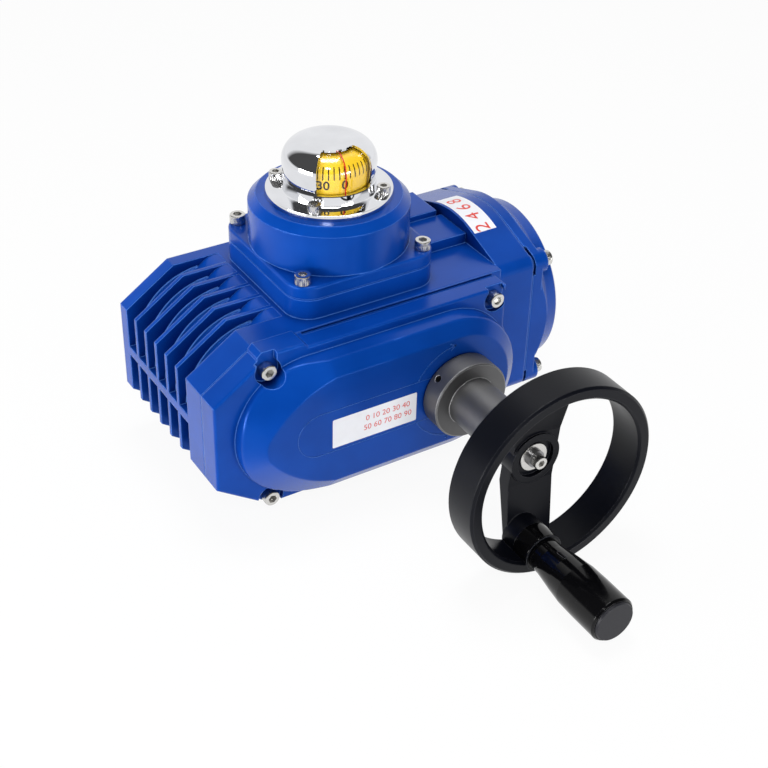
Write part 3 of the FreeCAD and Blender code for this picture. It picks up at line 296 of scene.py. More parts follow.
# finishes of pieces that share a slot with a plainer one
paintedSeam = enamel("paintedSeam", seamLook)
whiteVinyl = sticker("whiteVinyl")
redInk = plastic("redInk", (0.62, 0.030, 0.015), 0.40, size=0.3, depth=0.01)
blackInk = plastic("blackInk", (0.004, 0.003, 0.002), 0.55, size=0.3, depth=0.01, shine=0.2)
indexRed = plastic("indexRed", (0.55, 0.015, 0.006), 0.30, size=0.4, depth=0.01)
darkSteel = metal("springWasherSteel", (0.30, 0.30, 0.31), 0.30, size=0.4)
# lighter than the grip: a painted highlight for the light that the mark's raised edges catch
mouldMarkHighlight = plastic("mouldMarkHighlight", (0.035, 0.035, 0.040), 0.30)

slotOf = {part["node"]: part["material_slot"] for part in frame["record"]["subparts"]}
seams = ("gear_cover_gasket", "end_cover_gasket", "turret_gasket")     # their rims are under the paint
for name, node in nodes.items():
    node.data.materials.clear()
    node.data.materials.append(paintedSeam if name in seams else finishes[slotOf[name]])
print("finishes made:", len(finishes))


# Pieces

def finishPiece(name, shape, finish, body, stands=(), smooth=32.0):
    # a bmesh in millimetres becomes a piece that rides on a body
    bmesh.ops.remove_doubles(shape, verts=shape.verts, dist=0.0005)
    bmesh.ops.scale(shape, vec=(mm, mm, mm), verts=shape.verts)
    mesh = bpy.data.meshes.new(name)
    shape.to_mesh(mesh)
    shape.free()
    mesh.polygons.foreach_set("use_smooth", [True] * len(mesh.polygons))
    mesh.set_sharp_from_angle(angle=math.radians(smooth))
    piece = bpy.data.objects.new(name, mesh)
    scene.collection.objects.link(piece)
    mesh.materials.append(finish)
    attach(piece, body)
    if stands:
        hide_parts(*stands)


def lathe(points, steps=96, closed=True):
    # spins a half profile of (radius, height) about Z
    shape = bmesh.new()
    line = [shape.verts.new((r, 0.0, h)) for r, h in points]
    edges = [shape.edges.new(pair) for pair in zip(line, line[1:])]
    if closed:
        edges.append(shape.edges.new((line[-1], line[0])))
    bmesh.ops.spin(
        shape, geom=line + edges, cent=(0, 0, 0), axis=(0, 0, 1), dvec=(0, 0, 0),
        angle=math.tau, steps=steps, use_merge=True, use_duplicate=False,
    )
    bmesh.ops.remove_doubles(shape, verts=shape.verts, dist=0.0005)
    bmesh.ops.recalc_face_normals(shape, faces=shape.faces)
    return shape


def addTo(whole, part, place=(0.0, 0.0, 0.0), direction=None):
    # moves a part that was drawn along Z to its place and joins it to the whole
    turn = Vector(direction).to_track_quat("Z", "Y").to_matrix().to_4x4() if direction else Matrix.Identity(4)
    bmesh.ops.transform(part, matrix=Matrix.Translation(place) @ turn, verts=part.verts)
    mesh = bpy.data.meshes.new("joined")
    part.to_mesh(mesh)
    part.free()
    whole.from_mesh(mesh)
    bpy.data.meshes.remove(mesh)


def onlyVerts(geom):
    return [g for g in geom if isinstance(g, bmesh.types.BMVert)]


def roundArc(centre, radius, start, end, steps):
    # points of an arc in a half profile, angles in degrees
    turns = [math.radians(start + (end - start) * i / steps) for i in range(steps + 1)]
    return [(centre[0] + radius * math.cos(a), centre[1] + radius * math.sin(a)) for a in turns]


# Round motor chamber between the fins, with cast fillets, and its run-out to the deck

barrelShape = {
    "x": -66.0, "r": 46.3, "floor": 44.0, "fillet": 2.4,
    "slots": 6, "back": 47.9, "pitch": 14.7, "width": 11.8,
    "over": 0.05,                                   # how far a strip reaches into the fins beside it
    "spans": ((93.0, 175.6), (184.4, 267.0)),       # either side of the web, in degrees
    "runOut": (                                     # (x, height over the axis) of the slope to the deck
        (-50.0, 52.85), (-57.5, 52.85), (-60.6, 52.2), (-63.4, 51.0), (-66.2, 49.0), (-68.4, 47.3),
        (-70.6, 46.3), (-73.5, 45.7), (-77.0, 44.8), (-77.0, 43.0), (-50.0, 43.0),
    ),
}


def barrelStrip(front, rear, start, end):
    # one slot's floor, a filleted trough turned about the motor axis
    b = barrelShape
    f, r = b["fillet"], b["r"]
    profile = roundArc((r + f, rear - f), f, 90.0, 180.0, 6) + roundArc((r + f, front + f), f, 180.0, 270.0, 6)
    profile += [(b["floor"], front), (b["floor"], rear)]
    strip = bmesh.new()
    line = [strip.verts.new((radius, y, 0.0)) for radius, y in profile]
    ring = [strip.edges.new(pair) for pair in zip(line, line[1:] + line[:1])]
    cap = strip.faces.new(line)
    toStart = Matrix.Rotation(math.radians(-start), 3, "Y")
    bmesh.ops.rotate(strip, verts=line, cent=(0, 0, 0), matrix=toStart)
    bmesh.ops.spin(
        strip, geom=[cap] + ring + line, cent=(0, 0, 0), axis=(0, -1, 0), dvec=(0, 0, 0),
        angle=math.radians(end - start), steps=30, use_merge=False, use_duplicate=False,
    )
    bmesh.ops.recalc_face_normals(strip, faces=strip.faces)
    return strip


def barrelSlope(front, rear, side):
    slope = bmesh.new()
    corners = [slope.verts.new((x, front, axisZ + side * z)) for x, z in barrelShape["runOut"]]
    face = slope.faces.new(corners)
    drawn = bmesh.ops.extrude_face_region(slope, geom=[face], use_keep_orig=True)["geom"]
    bmesh.ops.translate(slope, verts=onlyVerts(drawn), vec=(0, rear - front, 0))
    bmesh.ops.recalc_face_normals(slope, faces=slope.faces)
    return slope


def finBarrel():
    b = barrelShape
    whole = bmesh.new()
    for i in range(b["slots"]):
        rear = b["back"] - i * b["pitch"] + b["over"]
        front = rear - b["width"] - 2 * b["over"]
        for start, end in b["spans"]:
            addTo(whole, barrelStrip(front, rear, start, end), (b["x"], 0.0, axisZ))
        for side in (1, -1):
            addTo(whole, barrelSlope(front, rear, side))
    finishPiece("finBarrel", whole, finishes["blue_casting"], "casing", (), 40.0)


finBarrel()


# Gloss sleeve of the handle's boss on the wheel

bossShape = {
    "x": handleX, "z": handleZ, "r": 12.62, "bore": 12.2, "lip": 8.0, "wall": 0.4,
    "front": -199.5, "back": -186.0, "round": 1.2,
}


def bossSleeve():
    b = bossShape
    length, soft = b["back"] - b["front"], b["round"]
    points = [(b["bore"], 0.0), (b["r"], 0.0), (b["r"], length - soft)]
    points += roundArc((b["r"] - soft, length - soft), soft, 15.0, 90.0, 5)
    points += [(b["lip"], length), (b["lip"], length - b["wall"]), (b["bore"], length - b["wall"])]
    whole = bmesh.new()
    addTo(whole, lathe(points, 72), (b["x"], b["back"], b["z"]), (0, -1, 0))
    finishPiece("bossSleeve", whole, finishes["gloss_black"], "worm")


bossSleeve()


# Flat washer and sprung washer under the hub screw

washerShape = {
    "seat": -169.5, "bore": 2.75, "flatR": 9.4, "flat": 1.2, "soft": 0.2, "round": 0.25,
    "springR": 5.6, "spring": 2.4,
}


def hubWashers():
    w = washerShape
    flat, r, soft, top = w["flat"], w["flatR"], w["soft"], w["round"]
    whole = bmesh.new()
    disc = lathe([
        (w["bore"], 0.0), (r - soft, 0.0), (r, soft), (r, flat - top), (r - top, flat), (w["bore"], flat),
    ], 72)
    addTo(whole, disc, (wormX, w["seat"], axisZ), (0, -1, 0))
    finishPiece("hubWashers", whole, finishes["stainless"], "worm", ("wheel_washers",))
    outer, height = w["springR"], w["spring"]
    spring = lathe([(w["bore"], 0.0), (outer, 0.0), (outer, height), (w["bore"], height)], 48)
    ring = bmesh.new()
    addTo(ring, spring, (wormX, w["seat"] - flat, axisZ), (0, -1, 0))
    finishPiece("springWasher", ring, darkSteel, "worm")


hubWashers()


# Small moulded oval on the grip: where it sits, its lean with the flank, and its wire

gripMark = {
    "y": -216.7, "r": 12.3, "turn": 95.0, "lean": 8.75, "long": 6.2, "half": 1.15, "wire": 0.30, "rise": 0.34,
}


def gripOval():
    g = gripMark
    shape = bmesh.new()
    bmesh.ops.create_circle(shape, segments=30, radius=g["half"])
    for v in shape.verts:
        v.co.y += math.copysign(g["long"] / 2, v.co.y)
    inner = bmesh.ops.extrude_edge_only(shape, edges=list(shape.edges))["geom"]
    for v in onlyVerts(inner):
        v.co.x *= 1 - g["wire"] / g["half"]
        v.co.y -= math.copysign(g["wire"], v.co.y)
    raised = bmesh.ops.extrude_face_region(shape, geom=list(shape.faces))["geom"]
    bmesh.ops.translate(shape, verts=onlyVerts(raised), vec=(0, 0, g["rise"]))
    bmesh.ops.recalc_face_normals(shape, faces=shape.faces)
    # from lying in XY to standing on the grip's flank
    a, lean = math.radians(g["turn"]), math.radians(g["lean"])
    radial = Vector((math.cos(a), 0.0, math.sin(a)))
    out = radial * math.cos(lean) + Vector((0.0, math.sin(lean), 0.0))
    along = radial * math.sin(lean) - Vector((0.0, math.cos(lean), 0.0))
    side = along.cross(out)
    seat = Vector((handleX, g["y"], handleZ)) + radial * g["r"]
    stand = Matrix.Translation(seat) @ Matrix((side, along, out)).transposed().to_4x4()
    bmesh.ops.transform(shape, matrix=stand, verts=shape.verts)
    finishPiece("gripOval", shape, mouldMarkHighlight, "grip")


gripOval()
print("casting details made")


# Knurled socket screws

screwSizes = {
    "m6": {"head": 5.0, "height": 6.0, "shank": 3.0, "across": 5.0, "knurls": 60},
    "m5": {"head": 4.25, "height": 5.0, "shank": 2.5, "across": 4.0, "knurls": 52},
}
# as shares of the head's radius or height, but the seat in millimetres
screwForm = {"knurl": 0.962, "rim": 0.80, "socket": 0.5, "seat": 0.15}
# node, size, length under the head, where the head points, values of x, y and z, body
screwSets = {
    "coverScrews": ("gear_cover_screws", "m6", 23.8, (0, -1, 0), ((-83, 77), (-70.3,), (110.5, 17.5)), "casing"),
    "endScrews": ("end_cover_screws", "m6", 23.0, (1, 0, 0), ((130,), (-49.5, 49.5), (111.5, 27.5)), "casing"),
    "turretScrews": ("turret_screws", "m6", 20.0, (0, 0, 1), ((42, -42), (42, -42), (141,)), "casing"),
    "bezelScrews": ("bezel_screws", "m5", 8.5, (0, 0, 1), ((24, -24), (24, -24), (175.5,)), "casing"),
    "hubScrew": ("wheel_screw", "m5", 16.0, (0, -1, 0), ((wormX,), (-173.1,), (axisZ,)), "worm"),
}


def screwHead(size, turn):
    r, h, n = size["head"], size["height"], size["knurls"]
    form, half = screwForm, size["across"] / 2
    shape = lathe([
        (0.0, 0.0), (r * 0.94, 0.0), (r, 0.25), (r, h * 0.40), (r, h - 0.75), (r * 0.985, h - 0.62),
        (r * 0.975, h - 0.30), (r * 0.90, h), (r * form["rim"], h), (0.0, h),
    ], n, False)
    for v in shape.verts:
        flat = v.co.xy.length
        if abs(flat - r) < 0.01 and 0.1 < v.co.z < h - 0.7:
            column = round(math.atan2(v.co.y, v.co.x) / (math.tau / n))
            if column % 2:
                v.co.x *= form["knurl"]
                v.co.y *= form["knurl"]
    # the flat of the head becomes a ring round a six-sided socket
    middles = [(f, f.calc_center_median()) for f in shape.faces]
    crown = [f for f, c in middles if c.z > h - 0.001 and c.xy.length < r * 0.79]
    crown = bmesh.ops.dissolve_faces(shape, faces=crown, use_verts=True)["region"]
    ring = r * form["rim"] - size["across"] * 0.5774 - form["seat"]
    bmesh.ops.inset_region(shape, faces=crown, thickness=ring, use_even_offset=True)
    floor = [f for f in shape.faces if len(f.verts) > 20 and f.normal.z > 0.9][0]
    for v in floor.verts:
        angle = math.atan2(v.co.y, v.co.x) - turn
        corner = (angle + math.radians(30)) % math.radians(60) - math.radians(30)
        reach = half / math.cos(corner)
        v.co.x, v.co.y = reach * math.cos(angle + turn), reach * math.sin(angle + turn)
    deep = bmesh.ops.extrude_face_region(shape, geom=[floor])["geom"]
    bmesh.ops.delete(shape, geom=[floor], context="FACES_ONLY")
    bmesh.ops.translate(shape, verts=onlyVerts(deep), vec=(0, 0, -h * form["socket"]))
    return shape


def socketScrew(size, length, turn):
    shape, r = screwHead(size, turn), size["shank"]
    shank = [(0.0, -length), (r * 0.8, -length), (r, -length + 0.8), (r, 0.1), (0.0, 0.1)]
    addTo(shape, lathe(shank, 28, False))
    return shape


for label, (node, size, length, direction, (xs, ys, zs), body) in screwSets.items():
    whole = bmesh.new()
    places = [(x, y, z) for x in xs for y in ys for z in zs]
    for i, place in enumerate(places):
        addTo(whole, socketScrew(screwSizes[size], length, 0.5 + 0.9 * i), place, direction)
    finishPiece(label, whole, finishes["stainless"], body, (node,))
print("screws made")


# Chromed bezel with its window, and the lens behind it

bezelShape = {
    "base": 172.0, "plateR": 39.2, "plate": 3.5, "ringR": 28.7, "ringTop": 182.5,
    "footR": 27.9, "wideR": 29.2, "top": 206.49, "shoulder": 13.0, "wall": 1.5, "coreR": 15.5, "crownR": 8.0,
    "windowFrom": -45.5, "windowTo": 30.5,          # turns from the front, in degrees
    "lensGap": 0.35, "lensWall": 1.0, "lensFoot": 1.0,
}


def domePoints(inset, bottom, steps=10):
    # half profile of the dome's flank and shoulder, pulled in by an inset
    b = bezelShape
    r, top = b["wideR"] - inset, b["top"] - inset
    shoulder = b["shoulder"] - inset
    return [(b["footR"] - inset, bottom)] + roundArc((r - shoulder, top - shoulder), shoulder, 0.0, 90.0, steps)


def domeShell():
    # the dome without its window
    b = bezelShape
    profile = domePoints(0.0, b["ringTop"]) + [(r, b["top"]) for r in (b["coreR"], b["crownR"], 0.0)]
    shell = bmesh.new()
    line = [shell.verts.new((r, 0.0, h)) for r, h in profile]
    edges = [shell.edges.new(pair) for pair in zip(line, line[1:])]
    start = Matrix.Rotation(math.radians(b["windowFrom"] - 90.0), 3, "Z")
    bmesh.ops.rotate(shell, verts=shell.verts, cent=(0, 0, 0), matrix=start)
    bmesh.ops.spin(
        shell, geom=line + edges, cent=(0, 0, 0), axis=(0, 0, 1), dvec=(0, 0, 0),
        angle=math.tau, steps=180, use_merge=True, use_duplicate=False,
    )
    bmesh.ops.remove_doubles(shell, verts=shell.verts, dist=0.0005)
    gone = []
    for face in shell.faces:
        c = face.calc_center_median()
        turn = math.degrees(math.atan2(c.x, -c.y))
        if b["windowFrom"] < turn < b["windowTo"] and c.xy.length > b["coreR"]:
            gone.append(face)
    bmesh.ops.delete(shell, geom=gone, context="FACES")
    bmesh.ops.recalc_face_normals(shell, faces=shell.faces)
    crown = max(shell.faces, key=lambda f: f.calc_center_median().z)
    if crown.normal.z < 0:
        bmesh.ops.reverse_faces(shell, faces=shell.faces)
    bmesh.ops.solidify(shell, geom=shell.faces, thickness=b["wall"])
    return shell


def bezelPiece():
    # (radius, height): out along the plate, over its edge, in to the ring, up and over
    b = bezelShape
    plateR, plateTop, ringR, ringTop = b["plateR"], b["base"] + b["plate"], b["ringR"], b["ringTop"]
    bore = b["footR"] - b["wall"]
    whole = lathe([
        (bore, b["base"]), (plateR, b["base"]), (plateR, plateTop - 0.5), (plateR - 0.15, plateTop - 0.15),
        (plateR - 0.5, plateTop), (ringR + 1.0, plateTop), (ringR + 0.3, plateTop + 0.3),
        (ringR, plateTop + 1.0), (ringR, ringTop - 0.4), (ringR - 0.4, ringTop), (bore, ringTop),
    ], 180)
    addTo(whole, domeShell())
    finishPiece("chromeBezel", whole, finishes["chromed"], "casing", ("indicator_bezel",), 40.0)


def lensPiece():
    b = bezelShape
    outer = b["wall"] + b["lensGap"]
    inner = outer + b["lensWall"]
    foot = b["base"] + b["lensFoot"]
    outside = domePoints(outer, foot) + [(0.0, b["top"] - outer)]
    inside = domePoints(inner, foot) + [(0.0, b["top"] - inner)]
    shape, slot = lathe(outside + inside[::-1], 144), "clear_window"
    finishPiece("clearLens", shape, finishes[slot], "casing", ("indicator_lens",), 40.0)


bezelPiece()
lensPiece()
print("bezel and lens made")


# Yellow drum with plain numbers, and the fixed red line

drumShape = {
    "wideR": 25.8, "footR": 24.6, "top": 203.0, "bottom": 179.0, "shoulder": 10.0, "wall": 2.0,
    "boreR": 5.05, "boreTop": 192.0,
    # turns are in degrees from the index line; depths and lifts are of the print
    "ticks": (-16, 5), "tickStep": 7.5, "tickFrom": 192.0, "tickTo": 199.5, "tickWidth": 0.66,
    "tickDepth": 0.08, "tickLift": 0.02,
    "numbers": (("0", 0.0), ("30", -30.0), ("60", -60.0), ("90", -90.0)),
    "numberAt": 188.0, "numberSize": 8.2, "numberWeight": 0.14, "numberDepth": 0.04, "numberLift": 0.06,
}
# the index line: its turn from the front, how far it lies over the lens and starts below the ring
lineShape = {"at": -8.5, "half": 0.40, "thick": 0.04, "lift": 0.06, "below": 3.0, "bend": 186.0}


def drumRadius(height):
    d = drumShape
    share = (height - d["bottom"]) / (d["top"] - d["shoulder"] - d["bottom"])
    flank = d["footR"] + (d["wideR"] - d["footR"]) * min(1.0, max(0.0, share))
    over = height - (d["top"] - d["shoulder"])
    if over > 0:
        flank = d["wideR"] - d["shoulder"] + math.sqrt(max(0.0, d["shoulder"] ** 2 - over ** 2))
    return flank


def wrapped(shape, turn, height, lift):
    # lays a flat shape, drawn in XY, onto the drum at a turn from the front, in degrees
    for v in shape.verts:
        z = height + v.co.y
        r = drumRadius(z) + lift + v.co.z
        a = math.radians(turn) + v.co.x / drumRadius(height)
        v.co = (r * math.sin(a), -r * math.cos(a), z)


def flatText(words, size, depth, weight=0.0):
    # flat lettering in XY about the origin, as a bmesh in millimetres
    curve = bpy.data.curves.new("numbers", "FONT")
    curve.body = words
    curve.size = size
    curve.align_x = "CENTER"
    curve.align_y = "CENTER"
    curve.extrude = depth
    curve.offset = weight
    curve.resolution_u = 4
    holder = bpy.data.objects.new("numbers", curve)
    scene.collection.objects.link(holder)
    bpy.context.view_layer.update()
    mesh = bpy.data.meshes.new_from_object(holder)
    shape = bmesh.new()
    shape.from_mesh(mesh)
    bpy.data.objects.remove(holder)
    bpy.data.curves.remove(curve)
    bpy.data.meshes.remove(mesh)
    return shape


def sliced(shape, step=1.0):
    # cuts flat lettering across X, so that it can follow a curved surface
    reach = max(abs(v.co.x) for v in shape.verts)
    for i in range(-int(reach / step), int(reach / step) + 1):
        geom = list(shape.verts) + list(shape.edges) + list(shape.faces)
        bmesh.ops.bisect_plane(shape, geom=geom, dist=0.0001, plane_co=(i * step, 0, 0), plane_no=(1, 0, 0))
    return shape


def slab(width, length, depth, cuts=1):
    shape = bmesh.new()
    bmesh.ops.create_grid(shape, x_segments=1, y_segments=cuts, size=0.5)
    bmesh.ops.scale(shape, vec=(width, length, 1.0), verts=shape.verts)
    base = list(shape.faces)
    raised = bmesh.ops.extrude_face_region(shape, geom=base)["geom"]
    bmesh.ops.translate(shape, verts=onlyVerts(raised), vec=(0, 0, depth))
    bmesh.ops.reverse_faces(shape, faces=base)
    return shape


def drumPieces():
    d = drumShape
    low, under = d["top"] - d["shoulder"], d["top"] - d["wall"]
    outside = [(d["footR"], d["bottom"])]
    outside += roundArc((d["wideR"] - d["shoulder"], low), d["shoulder"], 0.0, 90.0, 10) + [(0.0, d["top"])]
    inside = [
        (d["footR"] - d["wall"], d["bottom"]), (d["wideR"] - d["wall"], low),
        (d["wideR"] - d["shoulder"], under), (d["boreR"], under),
        (d["boreR"], d["boreTop"]), (0.0, d["boreTop"] + 0.3),
    ]
    drum, slot = lathe(outside + inside[::-1], 144), "yellow_plastic"
    finishPiece("yellowDrum", drum, finishes[slot], "output", ("indicator_drum",), 40.0)
    marks = bmesh.new()
    for i in range(d["ticks"][0], d["ticks"][1] + 1):
        tick = slab(d["tickWidth"], d["tickTo"] - d["tickFrom"], d["tickDepth"], 8)
        turn, middle = lineShape["at"] + i * d["tickStep"], (d["tickFrom"] + d["tickTo"]) / 2
        wrapped(tick, turn, middle, d["tickLift"])
        addTo(marks, tick)
    for words, turn in d["numbers"]:
        number = sliced(flatText(words, d["numberSize"], d["numberDepth"], d["numberWeight"]))
        wrapped(number, lineShape["at"] + turn, d["numberAt"], d["numberLift"])
        addTo(marks, number)
    finishPiece("drumMarks", marks, blackInk, "output")


def indexLine():
    # a red thread of paint up the lens and over its shoulder
    b, line = bezelShape, lineShape
    shape = bmesh.new()
    path = domePoints(b["wall"] + b["lensGap"] - line["lift"], b["ringTop"] - line["below"], 12)
    path = [path[0], (path[0][0] * 0.7 + path[1][0] * 0.3, line["bend"])] + path[1:]
    edges = []
    for side in (-1, 1):
        row = [shape.verts.new((side * line["half"], -r, h)) for r, h in path]
        edges += [shape.edges.new(pair) for pair in zip(row, row[1:])]
    bmesh.ops.bridge_loops(shape, edges=edges)
    bmesh.ops.recalc_face_normals(shape, faces=shape.faces)
    bmesh.ops.solidify(shape, geom=shape.faces, thickness=line["thick"])
    turn = Matrix.Rotation(math.radians(line["at"]), 3, "Z")
    bmesh.ops.rotate(shape, verts=shape.verts, cent=(0, 0, 0), matrix=turn)
    finishPiece("indexLine", shape, indexRed, "casing")


drumPieces()
indexLine()
print("dial made")


# Stickers with plain numbers in place of the printed ones

stickerSheet = {"thick": 0.12, "ink": 0.03, "inkDepth": 0.01, "corner": 0.8}
coverLabel = {
    "x": (-49.5, 9.5), "z": (53.3, 74.0), "textX": -11.0, "textSize": 5.6,
    "rows": (("0 10 20 30 40", 67.4), ("50 60 70 80 90", 60.6)),
}
roundLabel = {"x": (93.5, 110.5), "y": (22.0, -33.0), "r": 64.02, "words": "2 4 6 8", "textSize": 14.5}


def coverSticker():
    s, c = stickerSheet, coverLabel
    width, height = c["x"][1] - c["x"][0], c["z"][1] - c["z"][0]
    middle = (sum(c["x"]) / 2, coverFaceY, sum(c["z"]) / 2)
    sheet = slab(width, height, s["thick"])
    upright = [e for e in sheet.edges if abs(e.verts[0].co.z - e.verts[1].co.z) > s["thick"] / 2]
    bmesh.ops.bevel(
        sheet, geom=upright, offset=s["corner"], segments=3, profile=0.5, affect="EDGES", material=-1,
    )
    stand = Matrix.Rotation(math.radians(90), 4, "X")
    bmesh.ops.transform(sheet, matrix=Matrix.Translation(middle) @ stand, verts=sheet.verts)
    finishPiece("coverSticker", sheet, whiteVinyl, "casing")
    rows = bmesh.new()
    for words, z in c["rows"]:
        row = flatText(words, c["textSize"], s["inkDepth"])
        place = (c["textX"], coverFaceY - s["thick"] - s["ink"], z)
        bmesh.ops.transform(row, matrix=Matrix.Translation(place) @ stand, verts=row.verts)
        addTo(rows, row)
    finishPiece("coverNumbers", rows, redInk, "casing")


def bent(shape, r, middle):
    # bends a flat shape, x along the round and y along X, onto the round section
    for v in shape.verts:
        a = (v.co.x + middle[1]) / r
        reach = r + v.co.z
        v.co = (middle[0] - v.co.y, reach * math.sin(a), terminalZ + reach * math.cos(a))


def roundSticker():
    s, c = stickerSheet, roundLabel
    long, wide = c["y"][0] - c["y"][1], c["x"][1] - c["x"][0]
    middle = (sum(c["x"]) / 2, sum(c["y"]) / 2)
    sheet = slab(wide, long, s["thick"], 40)
    quarter = Matrix.Rotation(math.radians(90), 3, "Z")
    bmesh.ops.rotate(sheet, verts=sheet.verts, cent=(0, 0, 0), matrix=quarter)
    bent(sheet, c["r"], middle)
    finishPiece("roundSticker", sheet, whiteVinyl, "casing")
    row = sliced(flatText(c["words"], c["textSize"], s["inkDepth"]))
    bent(row, c["r"] + s["thick"] + s["ink"], middle)
    finishPiece("roundNumbers", row, redInk, "casing")


coverSticker()
roundSticker()


# Faint raised lines cast on the gear cover: a stadium outline and two turning arrows

castLines = {
    "half": 15.0, "from": -58.0, "to": 40.0, "width": 0.45, "rise": 0.14, "sink": 0.05,
    "arrowR": 33.5, "arrows": ((152.0, 96.0), (208.0, 264.0)), "arrowWidth": 0.9, "barb": 4.5, "lean": 35,
}


def ribbon(points, width, closed=False):
    # a raised line along points (x, z) on the cover's face
    rise, sink = castLines["rise"], castLines["sink"]
    shape = bmesh.new()
    count = len(points)
    rows = ([], [])
    for i, (x, z) in enumerate(points):
        before = points[(i - 1) % count] if closed or i else points[i]
        after = points[(i + 1) % count] if closed or i < count - 1 else points[i]
        along = Vector((after[0] - before[0], after[1] - before[1])).normalized()
        for row, side in zip(rows, (-0.5, 0.5)):
            across = width * side
            row.append(shape.verts.new((x - along.y * across, coverFaceY + sink, z + along.x * across)))
    edges = []
    for row in rows:
        edges += [shape.edges.new(pair) for pair in zip(row, row[1:])]
        if closed:
            edges.append(shape.edges.new((row[-1], row[0])))
    bmesh.ops.bridge_loops(shape, edges=edges)
    bmesh.ops.recalc_face_normals(shape, faces=shape.faces)
    if sum(f.normal.y for f in shape.faces) > 0:
        bmesh.ops.reverse_faces(shape, faces=shape.faces)
    raised = bmesh.ops.extrude_face_region(shape, geom=list(shape.faces))["geom"]
    bmesh.ops.translate(shape, verts=onlyVerts(raised), vec=(0, -rise - sink, 0))
    bmesh.ops.recalc_face_normals(shape, faces=shape.faces)
    return shape


def coverLines():
    c = castLines
    ring = roundArc((c["from"], axisZ), c["half"], 90, 270, 30)
    ring += roundArc((c["to"], axisZ), c["half"], 270, 450, 30)
    whole = ribbon(ring, c["width"], True)
    for start, end in c["arrows"]:
        arc = roundArc((wormX, axisZ), c["arrowR"], start, end, 24)
        addTo(whole, ribbon(arc, c["arrowWidth"]))
        tip, back = Vector(arc[-1]), (Vector(arc[-3]) - Vector(arc[-1])).normalized()
        for lean in (c["lean"], -c["lean"]):
            barb = back.copy()
            barb.rotate(Matrix.Rotation(math.radians(lean), 2))
            tail = tip + barb * c["barb"]
            addTo(whole, ribbon([tuple(tip), tuple((tip + tail) / 2), tuple(tail)], c["arrowWidth"]))
    finishPiece("castLines", whole, finishes["blue_casting"], "casing")


coverLines()
print("stickers and cast lines made")


# Studio

studio = {
    "worldLevel": 0.32,
    "wallDepth": 0.92,          # how much darker one stretch of wall is in mirrored metal
    "wallFoot": (0.04, 0.14),   # heights between which it starts, as shares of a direction
    "wallSide": (0.36, 0.58),   # and how far round it ends
    "wallAim": (0.54, 0.84),
    "floorShade": 0.90,
    "floorFade": 0.93,          # how far the floor's shadow fades to white
    # name, place, aim, size, power
    "lamps": (
        ("topSoftbox", (0.05, 0.10, 1.30), (0.0, 0.0, 0.10), (0.5, 0.5), 8.5),
        ("leftSoftbox", (-1.30, -0.10, 0.19), (0.0, 0.0, 0.08), (0.8, 0.32), 13.5),
        ("keySoftbox", (-0.60, -0.90, 1.15), (0.0, 0.0, 0.08), (0.32, 0.32), 5.0),
        ("frontSoftbox", (0.30, -1.45, 0.24), (0.0, 0.0, 0.08), (0.7, 0.36), 8.0),
    ),
}


def makeFloor():
    shape = bmesh.new()
    bmesh.ops.create_grid(shape, x_segments=1, y_segments=1, size=6.0)
    bmesh.ops.translate(shape, verts=shape.verts, vec=(0, 0, -0.0002))
    mesh = bpy.data.meshes.new("studioFloor")
    shape.to_mesh(mesh)
    shape.free()
    floor = bpy.data.objects.new("studioFloor", mesh)
    scene.collection.objects.link(floor)
    f = Finish("paleFloor")
    shade = studio["floorShade"]
    f.set({"Base Color": (shade, shade, shade, 1.0), "Roughness": 0.9})
    path = f.add("ShaderNodeLightPath")
    seen = Num(f, path.outputs["Is Camera Ray"]) + Num(f, path.outputs["Is Glossy Ray"])
    seen = (seen + Num(f, path.outputs["Is Transmission Ray"])) * studio["floorFade"]
    glow = f.add("ShaderNodeEmission", None, {"Color": (1.0, 1.0, 1.0, 1.0), "Strength": 1.0})
    mix = f.add("ShaderNodeMixShader", None, {0: seen, 1: f.shader.outputs[0], 2: glow.outputs[0]})
    f.tree.links.new(mix.outputs[0], f.tree.nodes["Material Output"].inputs[0])
    mesh.materials.append(f.material)


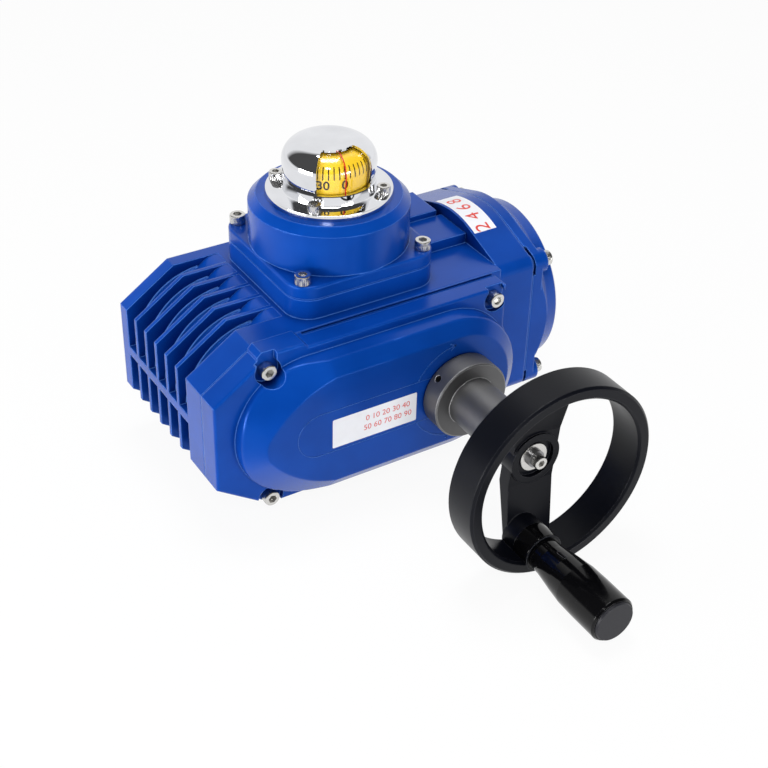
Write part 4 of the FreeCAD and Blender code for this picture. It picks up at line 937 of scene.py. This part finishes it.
def makeWorld():
    # plain soft light; metal sees a white room with one darker stretch of wall behind the camera
    world = bpy.data.worlds.new("studioWorld")
    scene.world = world
    world.use_nodes = True
    w = Tree(world.node_tree)
    light = world.node_tree.nodes["Background"]
    light.inputs[0].default_value = (0.97, 0.98, 1.0, 1.0)
    light.inputs[1].default_value = studio["worldLevel"]
    path = w.add("ShaderNodeLightPath")
    room = w.add("ShaderNodeSeparateXYZ", None, {0: w.add("ShaderNodeTexCoord").outputs["Generated"]})
    across = Num(w, room.outputs[0]) * studio["wallAim"][0] + Num(w, room.outputs[1]) * studio["wallAim"][1]
    foot, side = (tuple(zip(studio[key], (0.0, 1.0))) for key in ("wallFoot", "wallSide"))
    low = w.num("ShaderNodeValToRGB", {"stops": foot}, {0: room.outputs[2]})
    bright = w.num("ShaderNodeValToRGB", {"stops": side}, {0: across})
    wall = low * (1.0 - bright)
    mirrored = 1.0 - wall * studio["wallDepth"]
    seen = w.add("ShaderNodeBackground", None, {"Color": (1.0, 1.0, 1.0, 1.0), "Strength": 1.0})
    shown = w.add("ShaderNodeBackground", None, {"Color": (1.0, 1.0, 1.0, 1.0), "Strength": mirrored})
    glints = Num(w, path.outputs["Is Glossy Ray"]) + Num(w, path.outputs["Is Transmission Ray"])
    first = w.add("ShaderNodeMixShader", None, {0: glints, 1: light.outputs[0], 2: shown.outputs[0]})
    byCamera = path.outputs["Is Camera Ray"]
    both = w.add("ShaderNodeMixShader", None, {0: byCamera, 1: first.outputs[0], 2: seen.outputs[0]})
    world.node_tree.links.new(both.outputs[0], world.node_tree.nodes["World Output"].inputs[0])


def softLight(name, place, aim, size, power):
    lamp = bpy.data.lights.new(name, "AREA")
    lamp.shape = "RECTANGLE"
    lamp.size, lamp.size_y = size
    lamp.energy = power
    holder = bpy.data.objects.new(name, lamp)
    scene.collection.objects.link(holder)
    holder.location = place
    holder.rotation_euler = (Vector(aim) - Vector(place)).to_track_quat("-Z", "Y").to_euler()


# degrees, millimetres of lens, and metres
view = {
    "azimuth": -32.58, "elevation": 35.08, "roll": 1.684, "lens": 70.82, "place": (-0.4110, -0.7116, 0.6056),
}


def makeCamera():
    a, e, r = (math.radians(view[key]) for key in ("azimuth", "elevation", "roll"))
    back = Vector((math.sin(a) * math.cos(e), -math.cos(a) * math.cos(e), math.sin(e)))
    level = Vector((math.cos(a), math.sin(a), 0.0))
    upright = back.cross(level)
    right = level * math.cos(r) + upright * math.sin(r)
    up = upright * math.cos(r) - level * math.sin(r)
    lens = bpy.data.cameras.new("studioCamera")
    lens.lens = view["lens"]
    lens.sensor_width = 36.0
    lens.clip_end = 20.0
    camera = bpy.data.objects.new("studioCamera", lens)
    scene.collection.objects.link(camera)
    turn = Matrix((right, up, back)).transposed().to_4x4()
    camera.matrix_world = Matrix.Translation(view["place"]) @ turn
    scene.camera = camera


makeFloor()
makeWorld()
for lamp in studio["lamps"]:
    softLight(*lamp)
makeCamera()
scene.view_settings.view_transform = "Standard"
print("studio ready")
